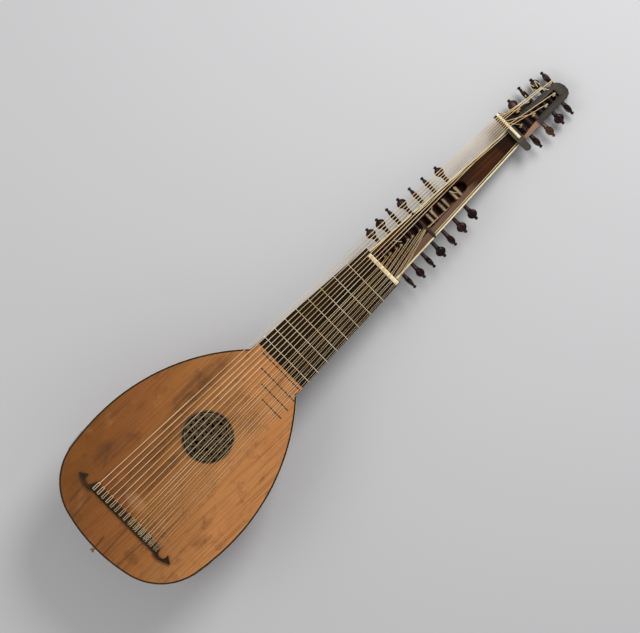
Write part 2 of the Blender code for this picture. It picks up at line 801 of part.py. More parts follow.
def make_bridge():
    """A block that the strings are tied to, with a low ledge behind it and a scroll at each end."""
    half = BRIDGE_WIDTH / 2
    section = [
        (0.0, GAP),
        (0.0, BRIDGE_HEIGHT - BRIDGE_EASE),
        (-BRIDGE_EASE, BRIDGE_HEIGHT),
        (-BRIDGE_BLOCK + BRIDGE_EASE, BRIDGE_HEIGHT),
        (-BRIDGE_BLOCK, BRIDGE_HEIGHT - BRIDGE_EASE),
        (-BRIDGE_BLOCK, BRIDGE_LEDGE_HEIGHT),
        (-BRIDGE_LENGTH, BRIDGE_LEDGE_HEIGHT - BRIDGE_EASE),
        (-BRIDGE_LENGTH, GAP),
    ]
    bar = loft("bridge", [[(x, y, z) for y, z in section] for x in (-half, half)])
    bridge = add("bridge", bar, dark_wood())
    for side, label in ((-1, "bass"), (1, "treble")):
        crescent = plate(f"scroll_{label}", [scroll_outline(side)], GAP, GAP + SCROLL_THICK)
        fuse(bridge, add(f"bridge_scroll_{label}", crescent))
    holes = []
    for string in STRINGS:
        radius = (string["radius"] + STRING_HOLE_CLEARANCE) / math.cos(math.pi / 6)
        ends = [(string["bridge_x"], y, STRING_HOLE_HEIGHT) for y in (0.004, -BRIDGE_LENGTH - 0.004)]
        holes.append(cone("string_hole", *ends, radius, radius, 6))
    cut(bridge, add("string_holes", joined("string_holes", holes)))
    return bridge


def make_end_button():
    """A turned button in the tail, on a shank through the clasp and the ribs."""
    face = TAIL_Y - GAP - CLASP_THICK - GAP
    profile = [
        (0.0, face - BUTTON_REACH),
        (BUTTON_RADIUS * 0.7, face - BUTTON_REACH),
        (BUTTON_RADIUS, face - BUTTON_REACH * 0.72),
        (BUTTON_RADIUS * 0.85, face - BUTTON_REACH * 0.42),
        (BUTTON_RADIUS * 0.55, face - BUTTON_REACH * 0.28),
        (BUTTON_RADIUS * 0.80, face),
        (BUTTON_SHANK, face),
        (BUTTON_SHANK * 0.8, face + BUTTON_IN),
        (0.0, face + BUTTON_IN),
    ]
    rings = []
    for radius, y in profile[1:-1]:
        turns = [2 * math.pi * k / 12 for k in range(12)]
        rings.append([(radius * math.cos(a), y, BUTTON_Z + radius * math.sin(a)) for a in turns])
    return add("end_button", loft("end_button", rings), brass(), 40)


# Neck


def make_neck():
    neck = add("neck", loft("neck", [neck_ring(NECK_JOINT + GAP), neck_ring(NECK_END)]), dark_wood(), 30)
    cut(neck, nail_hole())
    fuse(neck, add("tied_frets", joined("tied_frets", [fret_loop(n) for n in tied_frets()])))
    return neck


def fret_loop(number):
    """A gut fret tied round the neck: sunk in its back, clear of the fingerboard's face."""
    y = fret_y(number)
    half = neck_half_width(y)
    top = GAP + FRET_RADIUS
    points = [(-half, y, top), (half, y, top)] + neck_ring(y)
    return tube_mesh("tied_fret", points, FRET_RADIUS, 0, True)


def make_fingerboard():
    end = STRING_LENGTH - GAP
    corners = []
    for y in (FINGERBOARD_START, end):
        corners.append((neck_half_width(y) - FINGERBOARD_INSET, y))
    points = corners + [(-x, y) for x, y in reversed(corners)]
    return add("fingerboard", plate("fingerboard", [points], BOARD_UNDER, 0.0), dark_wood())


def nut_bar(name, bass_x, treble_x, start, length, low_z, high_z, finish):
    """A grooveless nut with its top rounded off towards the front and back."""
    ease = length * 0.22
    section = [
        (start, low_z),
        (start, high_z - ease),
        (start + ease, high_z),
        (start + length - ease * 0.5, high_z),
        (start + length, high_z - ease),
        (start + length, low_z),
    ]
    return add(name, loft(name, [[(x, y, z) for y, z in section] for x in (bass_x, treble_x)]), finish)


def make_nuts():
    low = RIM_Z + GAP
    nut_bar("main_nut", NUT_BASS_X, NUT_TREBLE_X, STRING_LENGTH, NUT_LENGTH, low, NUT_TOP, ivory())
    low = NUT_BLOCK_TOP + GAP
    high = NUT_BLOCK_TOP + HIGH_NUT_HEIGHT
    ends = (HIGH_NUT_BASS_X, HIGH_NUT_TREBLE_X)
    nut_bar("upper_nut", *ends, HIGH_NUT_Y, HIGH_NUT_LENGTH, low, high, ivory())


# Extension and its pegbox


def pegbox_plan(inset):
    """The lower pegbox in plan, moved in by the inset: wide at the nut, and round at its end."""
    start = EXTENSION_START + PEGBOX_START + inset
    narrow = STRING_LENGTH + PEGBOX_NARROWS_FROM_NUT
    straight = PEGBOX_END - PEGBOX_CROWN
    bass_start = -extension_half_width(start) + BASS_CHEEK + inset
    bass_end = -extension_half_width(straight) + BASS_CHEEK + inset
    treble_end = extension_half_width(straight) - TREBLE_CHEEK - inset
    treble = [
        (extension_half_width(start) - TREBLE_CHEEK_AT_NUT - inset, start),
        (extension_half_width(narrow) - TREBLE_CHEEK - inset, narrow),
        (treble_end, straight),
    ]
    middle, half = (treble_end + bass_end) / 2, (treble_end - bass_end) / 2
    rise = PEGBOX_CROWN - inset
    turns = [math.pi * k / 8 for k in range(1, 8)]
    crown = [(middle + half * math.cos(a), straight + rise * math.sin(a)) for a in turns]
    return treble + crown + [(bass_end, straight), (bass_start, start)]


def make_extension():
    rings = []
    for y in (EXTENSION_START, EXTENSION_END):
        half, depth = extension_half_width(y), extension_depth(y)
        edge = EXTENSION_EDGE
        right = [(half, 0.0), (half, -depth + edge), (half - edge * 0.3, -depth + edge * 0.3)]
        right.append((half - edge, -depth))
        ring = right + [(-x, z) for x, z in reversed(right)]
        rings.append([(x, y, z) for x, z in ring])
    body = add("extension", loft("extension", rings), head_wood(), 30)
    levels = ((PEGBOX_COVE, PEGBOX_FLOOR), (0.0, PEGBOX_FLOOR + PEGBOX_COVE), (0.0, 0.01))
    hollow = loft("pegbox_hollow", [[(x, y, z) for x, y in pegbox_plan(inset)] for inset, z in levels])
    cut(body, add("pegbox_hollow", hollow))
    for side, label in ((-1, "bass"), (1, "treble")):
        edging = edging_mesh(side, EDGING_WIDTH + GAP, EDGING_THICK + GAP, 0.002, 0.01)
        cut(body, add(f"edging_rebate_{label}", edging))
        strip = edging_mesh(side, EDGING_WIDTH, EDGING_THICK, 0.0, 0.0)
        add(f"edging_{label}", strip, ivory())
    cut(body, add("lower_peg_holes", joined("lower_peg_holes", [peg_hole(p) for p in LOWER_PEGS])))
    return body


def edging_mesh(side, width, thick, beyond, above):
    """The strip along one top edge of the extension, or with a margin the rebate for it."""
    rings = []
    for y in (EXTENSION_START - beyond, NUT_BLOCK_START - GAP + beyond * 0.1):
        outer = extension_half_width(y) + beyond
        inner = extension_half_width(y) - width
        section = [(outer, -thick), (outer, above), (inner, above), (inner, -thick)]
        rings.append([(side * x, y, z) for x, z in section])
    return loft("edging", rings)


def make_crossbar():
    half = extension_half_width(CROSSBAR_Y)
    low = (-half, CROSSBAR_Y - CROSSBAR_WIDTH / 2, GAP)
    high = (half, CROSSBAR_Y + CROSSBAR_WIDTH / 2, GAP + CROSSBAR_THICK)
    bar = add("pegbox_crossbar", box("pegbox_crossbar", low, high), dark_wood())
    ease = bar.modifiers.new("eased_edges", "BEVEL")
    ease.width = 0.0009
    ease.segments = 1
    return bar


# Upper pegbox


def head_plan():
    """The upper pegbox in plan: tapered cheeks and a round end that leans to the treble side."""
    end_y = HEAD_END - HEAD_CROWN - HEAD_CROWN_SKEW / 2
    treble_end, bass_end = head_treble_x(end_y), head_bass_x(end_y)
    middle, half = (treble_end + bass_end) / 2, (treble_end - bass_end) / 2
    points = [(HEAD_TREBLE_X, HEAD_START)]
    for k in range(7):
        turn = math.pi * k / 6
        y = end_y + HEAD_CROWN * math.sin(turn) + HEAD_CROWN_SKEW * math.cos(turn)
        points.append((middle + half * math.cos(turn), y))
    return points + [(HEAD_BASS_X, HEAD_START)]


def nut_block_plan():
    """The block that lifts the upper nut: square at the bass end, round at the treble end."""
    round_end = (HEAD_START - NUT_BLOCK_START) / 2
    centre = (NUT_BLOCK_TREBLE_X - round_end, NUT_BLOCK_START + round_end)
    treble_end = arc(centre, round_end, -math.pi / 2, math.pi / 2, 6)
    points = [(HIGH_NUT_BASS_X, NUT_BLOCK_START), *treble_end]
    return points + [(centre[0], HEAD_START), (HIGH_NUT_BASS_X, HEAD_START)]


def shoulder_plan():
    """The wing that carries the bass end of the nut block, drawn in to the bass cheek."""
    start = HEAD_START + GAP
    reach = HEAD_BASS_X - HIGH_NUT_BASS_X - SHOULDER_SET_IN
    points = [(HEAD_BASS_X + BURIED, start), (HEAD_BASS_X + BURIED, start + SHOULDER_LENGTH)]
    for k in range(5):
        share = k / 4
        out = reach * share**SHOULDER_CURVE
        points.append((HEAD_BASS_X - out, start + SHOULDER_LENGTH * (1 - share)))
    return points


def head_hollow_plan():
    """The upper pegbox's mouth in plan: its cheeks are thinner beside the nut."""
    low_y = HEAD_START + HEAD_END_WALL
    high_y = HEAD_END - HEAD_TOP_WALL
    splay_y = low_y + HEAD_SPLAY
    return [
        (head_treble_x(low_y) - HEAD_TREBLE_CHEEK_AT_NUT, low_y),
        (head_treble_x(splay_y) - HEAD_TREBLE_CHEEK, splay_y),
        (head_treble_x(high_y) - HEAD_TREBLE_CHEEK, high_y),
        (head_bass_x(high_y) + HEAD_BASS_CHEEK, high_y),
        (head_bass_x(splay_y) + HEAD_BASS_CHEEK, splay_y),
        (head_bass_x(low_y) + HEAD_BASS_CHEEK_AT_NUT, low_y),
    ]


def make_upper_pegbox():
    body = add("upper_pegbox", plate("upper_pegbox", [head_plan()], HEAD_BACK, HEAD_TOP), head_wood(), 30)
    fuse(body, add("nut_block", plate("nut_block", [nut_block_plan()], GAP, NUT_BLOCK_TOP)))
    wall = box(
        "nut_end_wall",
        (HIGH_NUT_BASS_X + BURIED, HEAD_START - GAP / 2, HEAD_BACK),
        (HEAD_TREBLE_X - GAP, HEAD_START + HEAD_END_WALL, HEAD_TOP),
    )
    fuse(body, add("nut_end_wall", wall))
    shoulder = plate("bass_shoulder", [shoulder_plan()], HEAD_BACK + GAP, SHOULDER_TOP)
    fuse(body, add("bass_shoulder", shoulder))
    cut(body, add("head_hollow", plate("head_hollow", [head_hollow_plan()], HEAD_FLOOR, 0.05)))
    cut(body, add("upper_peg_holes", joined("upper_peg_holes", [peg_hole(p) for p in UPPER_PEG_LIST])))
    return body


# Pegs


def lower_pegs():
    """Where each peg of the lower pegbox stands: alternate sides, seven from each."""
    pegs = []
    for k in range(LOWER_PEG_PAIRS):
        for side, label in ((1, "treble"), (-1, "bass")):
            y = LOWER_PEG_START + LOWER_PEG_PITCH * k + LOWER_PEG_SPREAD * k**2
            y += LOWER_PEG_STAGGER if side < 0 else 0.0
            wall = extension_half_width(y)
            pegs.append(
                {
                    "name": f"lower_peg_{label}_{k + 1}",
                    "side": side,
                    "y": y,
                    "z": LOWER_PEG_Z,
                    "wall_x": side * wall,
                    "shaft": 2 * wall + PEG_END,
                    "stem": LOWER_STEMS[label][k],
                    "roll": LOWER_ROLLS[label][k],
                }
            )
    return pegs


def upper_pegs():
    pegs = []
    for k in range(UPPER_PEGS):
        side, label = ((1, "treble"), (-1, "bass"))[k % 2]
        y = UPPER_PEG_START + UPPER_PEG_PITCH * k - UPPER_PEG_CLOSING * k**2
        wall = head_treble_x(y) if side > 0 else head_bass_x(y)
        pegs.append(
            {
                "name": f"upper_peg_{label}_{k // 2 + 1}",
                "side": side,
                "y": y,
                "z": UPPER_PEG_Z,
                "wall_x": wall,
                "shaft": head_treble_x(y) - head_bass_x(y) + PEG_END,
                "stem": UPPER_STEMS[label][k // 2],
                "roll": UPPER_ROLLS[label][k // 2],
            }
        )
    return pegs


# How far each head is turned about its shaft, in degrees, nearest the nut first: 0 shows its face
LOWER_ROLLS = {
    "treble": (84, 44, 74, 4, 60, 12, 22),
    "bass": (10, 6, 82, 14, 84, 76, 24),
}
UPPER_ROLLS = {"treble": (66, 52, 8, 70), "bass": (10, 80, 24, 60)}

# How far each tapered peg's stem stands out of its cheek, nearest the nut first
LOWER_STEMS = {
    "treble": (0.0130, 0.0136, 0.0140, 0.0152, 0.0158, 0.0138, 0.0118),
    "bass": (0.0112, 0.0132, 0.0148, 0.0155, 0.0160, 0.0150, 0.0139),
}
UPPER_STEMS = {"treble": (0.0075, 0.0105, 0.0070, 0.0065), "bass": (0.0108, 0.0150, 0.0112, 0.0068)}
LOWER_PEGS = lower_pegs()
UPPER_PEG_LIST = upper_pegs()


def shaft_radius(distance_in, stem):
    """Radius of a peg at a distance inside the wall on its head's side, or out along its stem."""
    if distance_in < 0.0:
        return PEG_RADIUS + (PEG_STEM_RADIUS - PEG_RADIUS) * -distance_in / stem
    return PEG_RADIUS - PEG_TAPER * distance_in


def peg_mesh(peg):
    """Round tapered shaft, stem and collar, a flat head and a round button, along X."""
    stem = peg["stem"]
    head = stem + PEG_COLLAR_LENGTH
    tip = head + PEG_HEAD_LENGTH
    broad, thick = PEG_HEAD_BREADTH / 2, PEG_HEAD_THICK / 2
    end_radius = shaft_radius(peg["shaft"], stem)
    stations = [
        (-peg["shaft"], end_radius, end_radius),
        (0.0, PEG_RADIUS, PEG_RADIUS),
        (stem, PEG_STEM_RADIUS, PEG_STEM_RADIUS),
        (stem, PEG_COLLAR_RADIUS, PEG_COLLAR_RADIUS),
        (head, PEG_COLLAR_RADIUS, PEG_COLLAR_RADIUS),
        (head + PEG_HEAD_LENGTH * 0.18, broad * 0.80, thick),
        (head + PEG_HEAD_LENGTH * 0.46, broad, thick * 0.88),
        (head + PEG_HEAD_LENGTH * 0.76, broad * 0.82, thick * 0.66),
        (tip, PEG_BUTTON_RADIUS * 0.75, thick * 0.40),
        (tip + PEG_BUTTON_LENGTH * 0.45, PEG_BUTTON_RADIUS, PEG_BUTTON_RADIUS),
        (tip + PEG_BUTTON_LENGTH, PEG_BUTTON_RADIUS * 0.55, PEG_BUTTON_RADIUS * 0.55),
    ]
    rings = []
    for x, wide, deep in stations:
        turns = [2 * math.pi * (k + 0.5) / PEG_SIDES for k in range(PEG_SIDES)]
        rings.append([(x, wide * math.cos(a), deep * math.sin(a)) for a in turns])
    return loft(peg["name"], rings)


def peg_hole(peg):
    """The tapered bore through both cheeks that one peg turns in."""
    ease = TURN_CLEARANCE
    flat = math.cos(math.pi / PEG_HOLE_SIDES)
    reach_out = 0.003
    reach_in = peg["shaft"] + reach_out
    outer = (shaft_radius(-reach_out, peg["stem"]) + ease) / flat
    inner = (shaft_radius(reach_in, peg["stem"]) + ease) / flat
    start = (peg["wall_x"] + peg["side"] * reach_out, peg["y"], peg["z"])
    end = (peg["wall_x"] - peg["side"] * reach_in, peg["y"], peg["z"])
    return cone("peg_hole", start, end, outer, inner, PEG_HOLE_SIDES)


def make_pegs():
    for peg in LOWER_PEGS + UPPER_PEG_LIST:
        made = add(peg["name"], peg_mesh(peg), peg_wood(), 50)
        made.location = (peg["wall_x"], peg["y"], peg["z"])
        made.rotation_euler = (math.radians(peg["roll"]), 0.0, 0.0 if peg["side"] > 0 else math.pi)


# Strings


def mix(start, end, share):
    return start + (end - start) * share


# The upper peg that each diapason goes to, counted from the nut
DIAPASON_PEGS = (1, 3, 5, 7, 2, 0, 6, 4)

# Where each string meets its peg and its winding starts, bass to treble
DIAPASON_WINDINGS = (-0.0300, -0.0315, -0.0296, -0.0246, -0.0050, -0.0065, -0.0050, -0.0005)
STOPPED_WINDINGS = (
    *(-0.0060, -0.0044, -0.0028, -0.0012, 0.0002, 0.0014),
    *(0.0028, 0.0040, 0.0050, 0.0060, 0.0068, 0.0075),
)


def diapasons():
    """Eight single bass strings, which run past the neck to the upper pegbox."""
    made = []
    for k in range(DIAPASONS):
        share = k / (DIAPASONS - 1)
        made.append(
            {
                "name": f"diapason_{k + 1}",
                "radius": mix(DIAPASON_RADIUS_LOW, DIAPASON_RADIUS_HIGH, share),
                "bridge_x": BRIDGE_BASS_X + BRIDGE_DIAPASON_PITCH * k,
                "nut": "upper",
                "nut_x": HIGH_NUT_STRING_X + HIGH_NUT_STRING_PITCH * k,
                "peg": UPPER_PEG_LIST[DIAPASON_PEGS[k]],
                "winding_x": DIAPASON_WINDINGS[k],
            }
        )
    return made


def stopped_strings():
    """Six double courses, bass to treble, each string to the next peg of the lower pegbox."""
    made = []
    total = 2 * COURSES
    for k in range(total):
        course, second = divmod(k, 2)
        lean = second - 0.5
        peg = LOWER_PEGS[k]
        made.append(
            {
                "name": f"course_{COURSES - course}_string_{second + 1}",
                "radius": mix(COURSE_RADIUS_LOW, COURSE_RADIUS_HIGH, course / (COURSES - 1)),
                "bridge_x": BRIDGE_COURSE_X + BRIDGE_COURSE_PITCH * course + BRIDGE_PAIR_GAP * lean,
                "nut": "main",
                "nut_x": NUT_COURSE_X + NUT_COURSE_PITCH * course + NUT_PAIR_GAP * lean,
                "peg": peg,
                "winding_x": STOPPED_WINDINGS[k],
            }
        )
    return made


STRINGS = diapasons() + stopped_strings()


def bridge_tie(string):
    """The knot: through the bar, back over it, under the string and over it again."""
    x, radius = string["bridge_x"], string["radius"]
    step = 2 * radius + LOOP_SPACE
    low = STRING_HOLE_HEIGHT
    over = BRIDGE_HEIGHT + GAP + radius
    back = -BRIDGE_BLOCK - GAP - radius
    front = 2 * GAP + radius
    tail = -BRIDGE_BLOCK + BRIDGE_EASE if string["nut"] == "main" else back
    return [
        (x - step, tail, over),
        (x - step, front - radius, over),
        (x - step, front + radius, low - step * 0.5),
        (x, front + radius * 2, low - step * 1.2),
        (x + step, front + radius, low - step * 0.5),
        (x + step, front - radius, over),
        (x + step, -BRIDGE_BLOCK + BRIDGE_EASE, over),
        (x + step * 0.9, back, over - BRIDGE_EASE),
        (x, back - radius, low),
        (x, 0.0, low),
    ]


def winding(string):
    """Turns round the peg's shaft, clear of it, from where the string first meets it."""
    peg, radius = string["peg"], string["radius"]
    pitch = 2 * radius + WINDING_SPACE
    lead = pitch if string["nut"] == "upper" else -pitch
    inside = (peg["wall_x"] - string["winding_x"]) * peg["side"]
    half = pitch * WINDING_TURNS + radius
    core = max(shaft_radius(inside - half, peg["stem"]), shaft_radius(inside + half, peg["stem"]))
    reach = (core + TURN_CLEARANCE + radius) / math.cos(math.pi / WINDING_POINTS)
    points = []
    for k in range(WINDING_TURNS * WINDING_POINTS + 1):
        turn = 2 * math.pi * k / WINDING_POINTS
        x = string["winding_x"] + lead * k / WINDING_POINTS
        points.append((x, peg["y"] + reach * math.sin(turn), peg["z"] + reach * math.cos(turn)))
    return points


def string_points(string):
    radius = string["radius"]
    points = bridge_tie(string)
    if string["nut"] == "main":
        height = NUT_TOP + STRING_SEAT + radius
        points.append((string["nut_x"], STRING_LENGTH + NUT_LENGTH, height))
    else:
        height = NUT_BLOCK_TOP + HIGH_NUT_HEIGHT + STRING_SEAT + radius
        points.append((string["nut_x"], HIGH_NUT_Y + HIGH_NUT_LENGTH, height))
    turns = winding(string)
    if string["nut"] == "main" and string["peg"]["y"] > CROSSBAR_Y:
        x = string["winding_x"] + CROSSBAR_LEAN
        points.append((x, CROSSBAR_Y, -radius - 0.0001))
    return points + turns


def least_gap(points, radius):
    """Least gap between two stretches of one string that aren't next to each other."""
    path = np.array(points)
    lengths = np.linalg.norm(np.diff(path, axis=0), axis=1)
    samples = []
    places = []
    run = 0.0
    for start, end, length in zip(path, path[1:], lengths):
        steps = max(2, int(min(length, 0.03) / 0.0003))
        for k in range(steps):
            share = k / steps * min(1.0, 0.03 / length)
            samples.append(start + (end - start) * share)
            places.append(run + length * share)
        run += length
    samples, places = np.array(samples), np.array(places)
    apart = np.linalg.norm(samples[:, None] - samples[None, :], axis=2)
    near = np.abs(places[:, None] - places[None, :]) < 8 * radius
    apart[near] = 1.0
    return float(apart.min()) - 2 * radius


def make_strings():
    gaps = []
    for string in STRINGS:
        points = string_points(string)
        gaps.append(least_gap(points, string["radius"]))
        add(string["name"], tube_curve(string["name"], points, string["radius"], 1), gut())
    print(f"least gap of a string to itself: {min(gaps) * 1000:.2f} mm")


# Laying the lute down as it rests


def rest_tilt():
    """Turn about X at which the bowl and the back of the upper pegbox touch one floor."""
    facet = math.cos(math.pi / (2 * RIBS))
    keel = []
    for k in range(400):
        y = TAIL_Y + 0.01 + (NECK_JOINT - TAIL_Y - 0.01) * k / 399
        keel.append((y, -bowl_half_width(max(y, WIDEST_Y), 0.0, 0.0) * depth_ratio(y) * facet))
    low, high = 0.0, 0.4
    for _ in range(40):
        turn = (low + high) / 2
        belly = min(z * math.cos(turn) - y * math.sin(turn) for y, z in keel)
        head = HEAD_BACK * math.cos(turn) - HEAD_END * math.sin(turn)
        low, high = (turn, high) if head > belly else (low, turn)
    return low


def lay_down():
    REST.rotation_euler = (-rest_tilt(), 0.0, 0.0)
    bpy.context.view_layer.update()
    graph = bpy.context.evaluated_depsgraph_get()
    low, high = Vector((9.0, 9.0, 9.0)), Vector((-9.0, -9.0, -9.0))
    for thing in PARTS.objects:
        if thing.type == "EMPTY":
            continue
        shown = thing.evaluated_get(graph)
        for corner in shown.to_mesh().vertices:
            place = thing.matrix_world @ corner.co
            low = Vector(map(min, low, place))
            high = Vector(map(max, high, place))
        shown.to_mesh_clear()
    REST.location = (-(low.x + high.x) / 2, -(low.y + high.y) / 2, -low.z)
    bpy.context.view_layer.update()


def main():
    make_bowl()
    make_end_clasp()
    make_neck_block()
    make_neck_nail()
    make_soundboard()
    make_edge_binding()
    make_rose()
    make_bridge()
    make_end_button()
    make_neck()
    make_fingerboard()
    make_nuts()
    make_extension()
    make_crossbar()
    make_upper_pegbox()
    make_pegs()
    make_strings()
    lay_down()


main()
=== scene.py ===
"""The looks of the theorboed lute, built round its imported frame.

Each piece is made in the lute's own axes, as in the frame's source: X to the treble side, Y from
the bridge to the head, Z out of the soundboard, with the bridge's front edge at Y 0 and the top of
the soundboard at Z 0. LAY then takes it to where the lute lies.
"""

import json
import math

import bmesh
import bpy
from mathutils import Euler, Matrix, Vector

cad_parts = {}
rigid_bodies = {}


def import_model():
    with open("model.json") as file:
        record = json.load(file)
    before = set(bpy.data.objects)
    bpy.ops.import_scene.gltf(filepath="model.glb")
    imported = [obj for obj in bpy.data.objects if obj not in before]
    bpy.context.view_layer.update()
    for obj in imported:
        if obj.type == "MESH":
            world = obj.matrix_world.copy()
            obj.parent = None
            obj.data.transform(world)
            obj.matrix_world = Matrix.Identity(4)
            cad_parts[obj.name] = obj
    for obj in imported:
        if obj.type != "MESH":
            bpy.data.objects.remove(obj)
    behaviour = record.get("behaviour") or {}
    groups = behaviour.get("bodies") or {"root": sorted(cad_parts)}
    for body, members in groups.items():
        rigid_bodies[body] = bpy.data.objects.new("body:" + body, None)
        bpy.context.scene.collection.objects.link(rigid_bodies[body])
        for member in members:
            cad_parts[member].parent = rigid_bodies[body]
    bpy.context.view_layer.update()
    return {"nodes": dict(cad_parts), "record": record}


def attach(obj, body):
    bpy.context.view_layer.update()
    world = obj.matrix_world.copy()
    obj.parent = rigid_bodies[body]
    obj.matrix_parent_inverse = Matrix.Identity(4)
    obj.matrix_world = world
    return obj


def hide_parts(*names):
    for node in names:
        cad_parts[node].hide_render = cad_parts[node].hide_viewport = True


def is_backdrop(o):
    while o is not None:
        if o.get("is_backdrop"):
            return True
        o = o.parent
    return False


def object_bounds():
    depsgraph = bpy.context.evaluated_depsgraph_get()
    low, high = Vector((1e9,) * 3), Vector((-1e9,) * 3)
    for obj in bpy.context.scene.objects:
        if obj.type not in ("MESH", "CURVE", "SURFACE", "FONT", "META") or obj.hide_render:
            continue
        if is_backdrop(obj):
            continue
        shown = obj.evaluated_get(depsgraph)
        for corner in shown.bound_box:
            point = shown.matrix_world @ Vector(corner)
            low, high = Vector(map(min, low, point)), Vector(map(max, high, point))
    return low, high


for default_thing in list(bpy.data.objects):
    bpy.data.objects.remove(default_thing, do_unlink=True)

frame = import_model()

# Sizes of the frame's source that the pieces follow, in metres
GAP = 0.0003
TURN_CLEARANCE = 0.00028
STRING_SEAT = 0.0004
STRING_LENGTH = 0.628
BODY_WIDTH = 0.333
WIDEST_Y = 0.090
TAIL_Y = -0.087
TAIL_RADIUS = 0.324
CORNER_RADIUS = 0.111
LOWER_SIDE_RADIUS = 0.495
UPPER_SIDE_RADIUS = 0.397
BOWL_DEPTH = 0.150
RIBS = 13
RIB_THICK = 0.0018
CLASP_THICK = 0.0012
CLASP_HEIGHT = 0.022
CLASP_END_HEIGHT = 0.005
CLASP_END_Y = 0.045
BLOCK_LENGTH = 0.040
BOARD_THICK = 0.0022
LIP_THICK = 0.0007
BINDING_WIDTH = 0.0026
ROSE_RADIUS = 0.0475
ROSE_OPEN_RADIUS = 0.0415
ROSE_Y = 0.197
BAR_WIDTH = 0.005
BAR_HEIGHT = 0.014
BAR_END_HEIGHT = 0.005
LOWER_BARS = (0.052, 0.100)
BAR_FROM_ROSE = 0.0065
BAR_FROM_BLOCK = 0.0230
BAR_ROOM = 0.004
BODY_FRET_WIDTH = 0.0019
BODY_FRET_HEIGHT = 0.0009
LAST_FRET = 12
BODY_FRET_BASS_X = 0.0204
BODY_FRET_TREBLE_X = 0.069
BODY_FRET_BASS_STEP = 0.0207
BODY_FRET_TREBLE_STEP = 0.0023
BODY_FRET_MARGIN = 0.0036
NECK_WIDTH_BODY = 0.1175
NECK_WIDTH_NUT = 0.0875
NECK_DEPTH_BODY = 0.034
NECK_DEPTH_NUT = 0.027
FINGERBOARD_INSET = 0.0010
FINGERBOARD_START = 0.380
TIED_FRETS = 8
FRET_RADIUS = 0.0005
BRIDGE_WIDTH = 0.1655
BRIDGE_LENGTH = 0.0185
BRIDGE_HEIGHT = 0.0080
BRIDGE_BLOCK = 0.0130
BRIDGE_LEDGE_HEIGHT = 0.0030
BRIDGE_EASE = 0.0012
STRING_HOLE_HEIGHT = 0.0048
BRIDGE_END_OVERLAP = 0.0040
SCROLL_REACH = 0.0335
SCROLL_TIP_Y = -0.0110
SCROLL_HOOK_OUT = 0.0190
SCROLL_HOOK_Y = -0.0015
SCROLL_EYE_OUT = 0.0105
SCROLL_EYE_Y = -0.0065
SCROLL_EYE = 0.0085
SCROLL_SAG = 0.0030
SCROLL_THICK = 0.0042
NUT_LENGTH = 0.0078
NUT_TOP = 0.0030
NUT_BASS_X = -0.0300
NUT_TREBLE_X = 0.0425
HIGH_NUT_Y = STRING_LENGTH + 0.3397
HIGH_NUT_LENGTH = 0.0052
HIGH_NUT_HEIGHT = 0.0040
HIGH_NUT_BASS_X = -0.0500
HIGH_NUT_TREBLE_X = 0.0090
EXTENSION_END = STRING_LENGTH + 0.3465
EXTENSION_WIDTH_START = 0.071
EXTENSION_WIDTH_END = 0.0335
CROSSBAR_Y = STRING_LENGTH + 0.1110
CROSSBAR_LEAN = 0.0010
NUT_BLOCK_START = STRING_LENGTH + 0.3343
NUT_BLOCK_TOP = 0.0120
HEAD_BASS_X = -0.0220
HEAD_TREBLE_X = 0.0190
HEAD_TAPER = 0.0030
HEAD_LENGTH = 0.1197
PEG_RADIUS = 0.0036
PEG_TAPER = 0.016
PEG_END = 0.0008
PEG_STEM_RADIUS = 0.0042
PEG_COLLAR_RADIUS = 0.0053
PEG_COLLAR_LENGTH = 0.0016
PEG_HEAD_LENGTH = 0.0165
PEG_HEAD_BREADTH = 0.0194
PEG_HEAD_THICK = 0.0092
PEG_BUTTON_RADIUS = 0.0034
PEG_BUTTON_LENGTH = 0.0045
LOWER_PEG_Z = -0.0085
LOWER_PEG_START = STRING_LENGTH + 0.0225
LOWER_PEG_PITCH = 0.0241
LOWER_PEG_SPREAD = 0.00056
LOWER_PEG_STAGGER = 0.0100
LOWER_PEG_PAIRS = 7
UPPER_PEG_Z = -0.0006
UPPER_PEG_START = STRING_LENGTH + 0.3595
UPPER_PEG_PITCH = 0.0160
UPPER_PEG_CLOSING = 0.0004
UPPER_PEGS = 8
LOWER_ROLLS = {
    "treble": (84, 44, 74, 4, 60, 12, 22),
    "bass": (10, 6, 82, 14, 84, 76, 24),
}
UPPER_ROLLS = {"treble": (66, 52, 8, 70), "bass": (10, 80, 24, 60)}
LOWER_STEMS = {
    "treble": (0.0130, 0.0136, 0.0140, 0.0152, 0.0158, 0.0138, 0.0118),
    "bass": (0.0112, 0.0132, 0.0148, 0.0155, 0.0160, 0.0150, 0.0139),
}
UPPER_STEMS = {"treble": (0.0075, 0.0105, 0.0070, 0.0065), "bass": (0.0108, 0.0150, 0.0112, 0.0068)}
DIAPASONS = 8
COURSES = 6
DIAPASON_RADII = (0.00070, 0.00055)
COURSE_RADII = (0.00048, 0.00026)
BRIDGE_BASS_X = -0.0763
BRIDGE_DIAPASON_PITCH = 0.01097
BRIDGE_COURSE_X = 0.0136
BRIDGE_COURSE_PITCH = 0.0128
BRIDGE_PAIR_GAP = 0.0050
NUT_COURSE_X = -0.0022
NUT_COURSE_PITCH = 0.0083
NUT_PAIR_GAP = 0.0027
HIGH_NUT_STRING_X = -0.0450
HIGH_NUT_STRING_PITCH = 0.00383
WINDING_TURNS = 2
WINDING_SPACE = 0.0006
LOOP_SPACE = 0.0006
DIAPASON_PEGS = (1, 3, 5, 7, 2, 0, 6, 4)
DIAPASON_WINDINGS = (-0.0300, -0.0315, -0.0296, -0.0246, -0.0050, -0.0065, -0.0050, -0.0005)
STOPPED_WINDINGS = (
    *(-0.0060, -0.0044, -0.0028, -0.0012, 0.0002, 0.0014),
    *(0.0028, 0.0040, 0.0050, 0.0060, 0.0068, 0.0075),
)
BUTTON_RADIUS = 0.0045
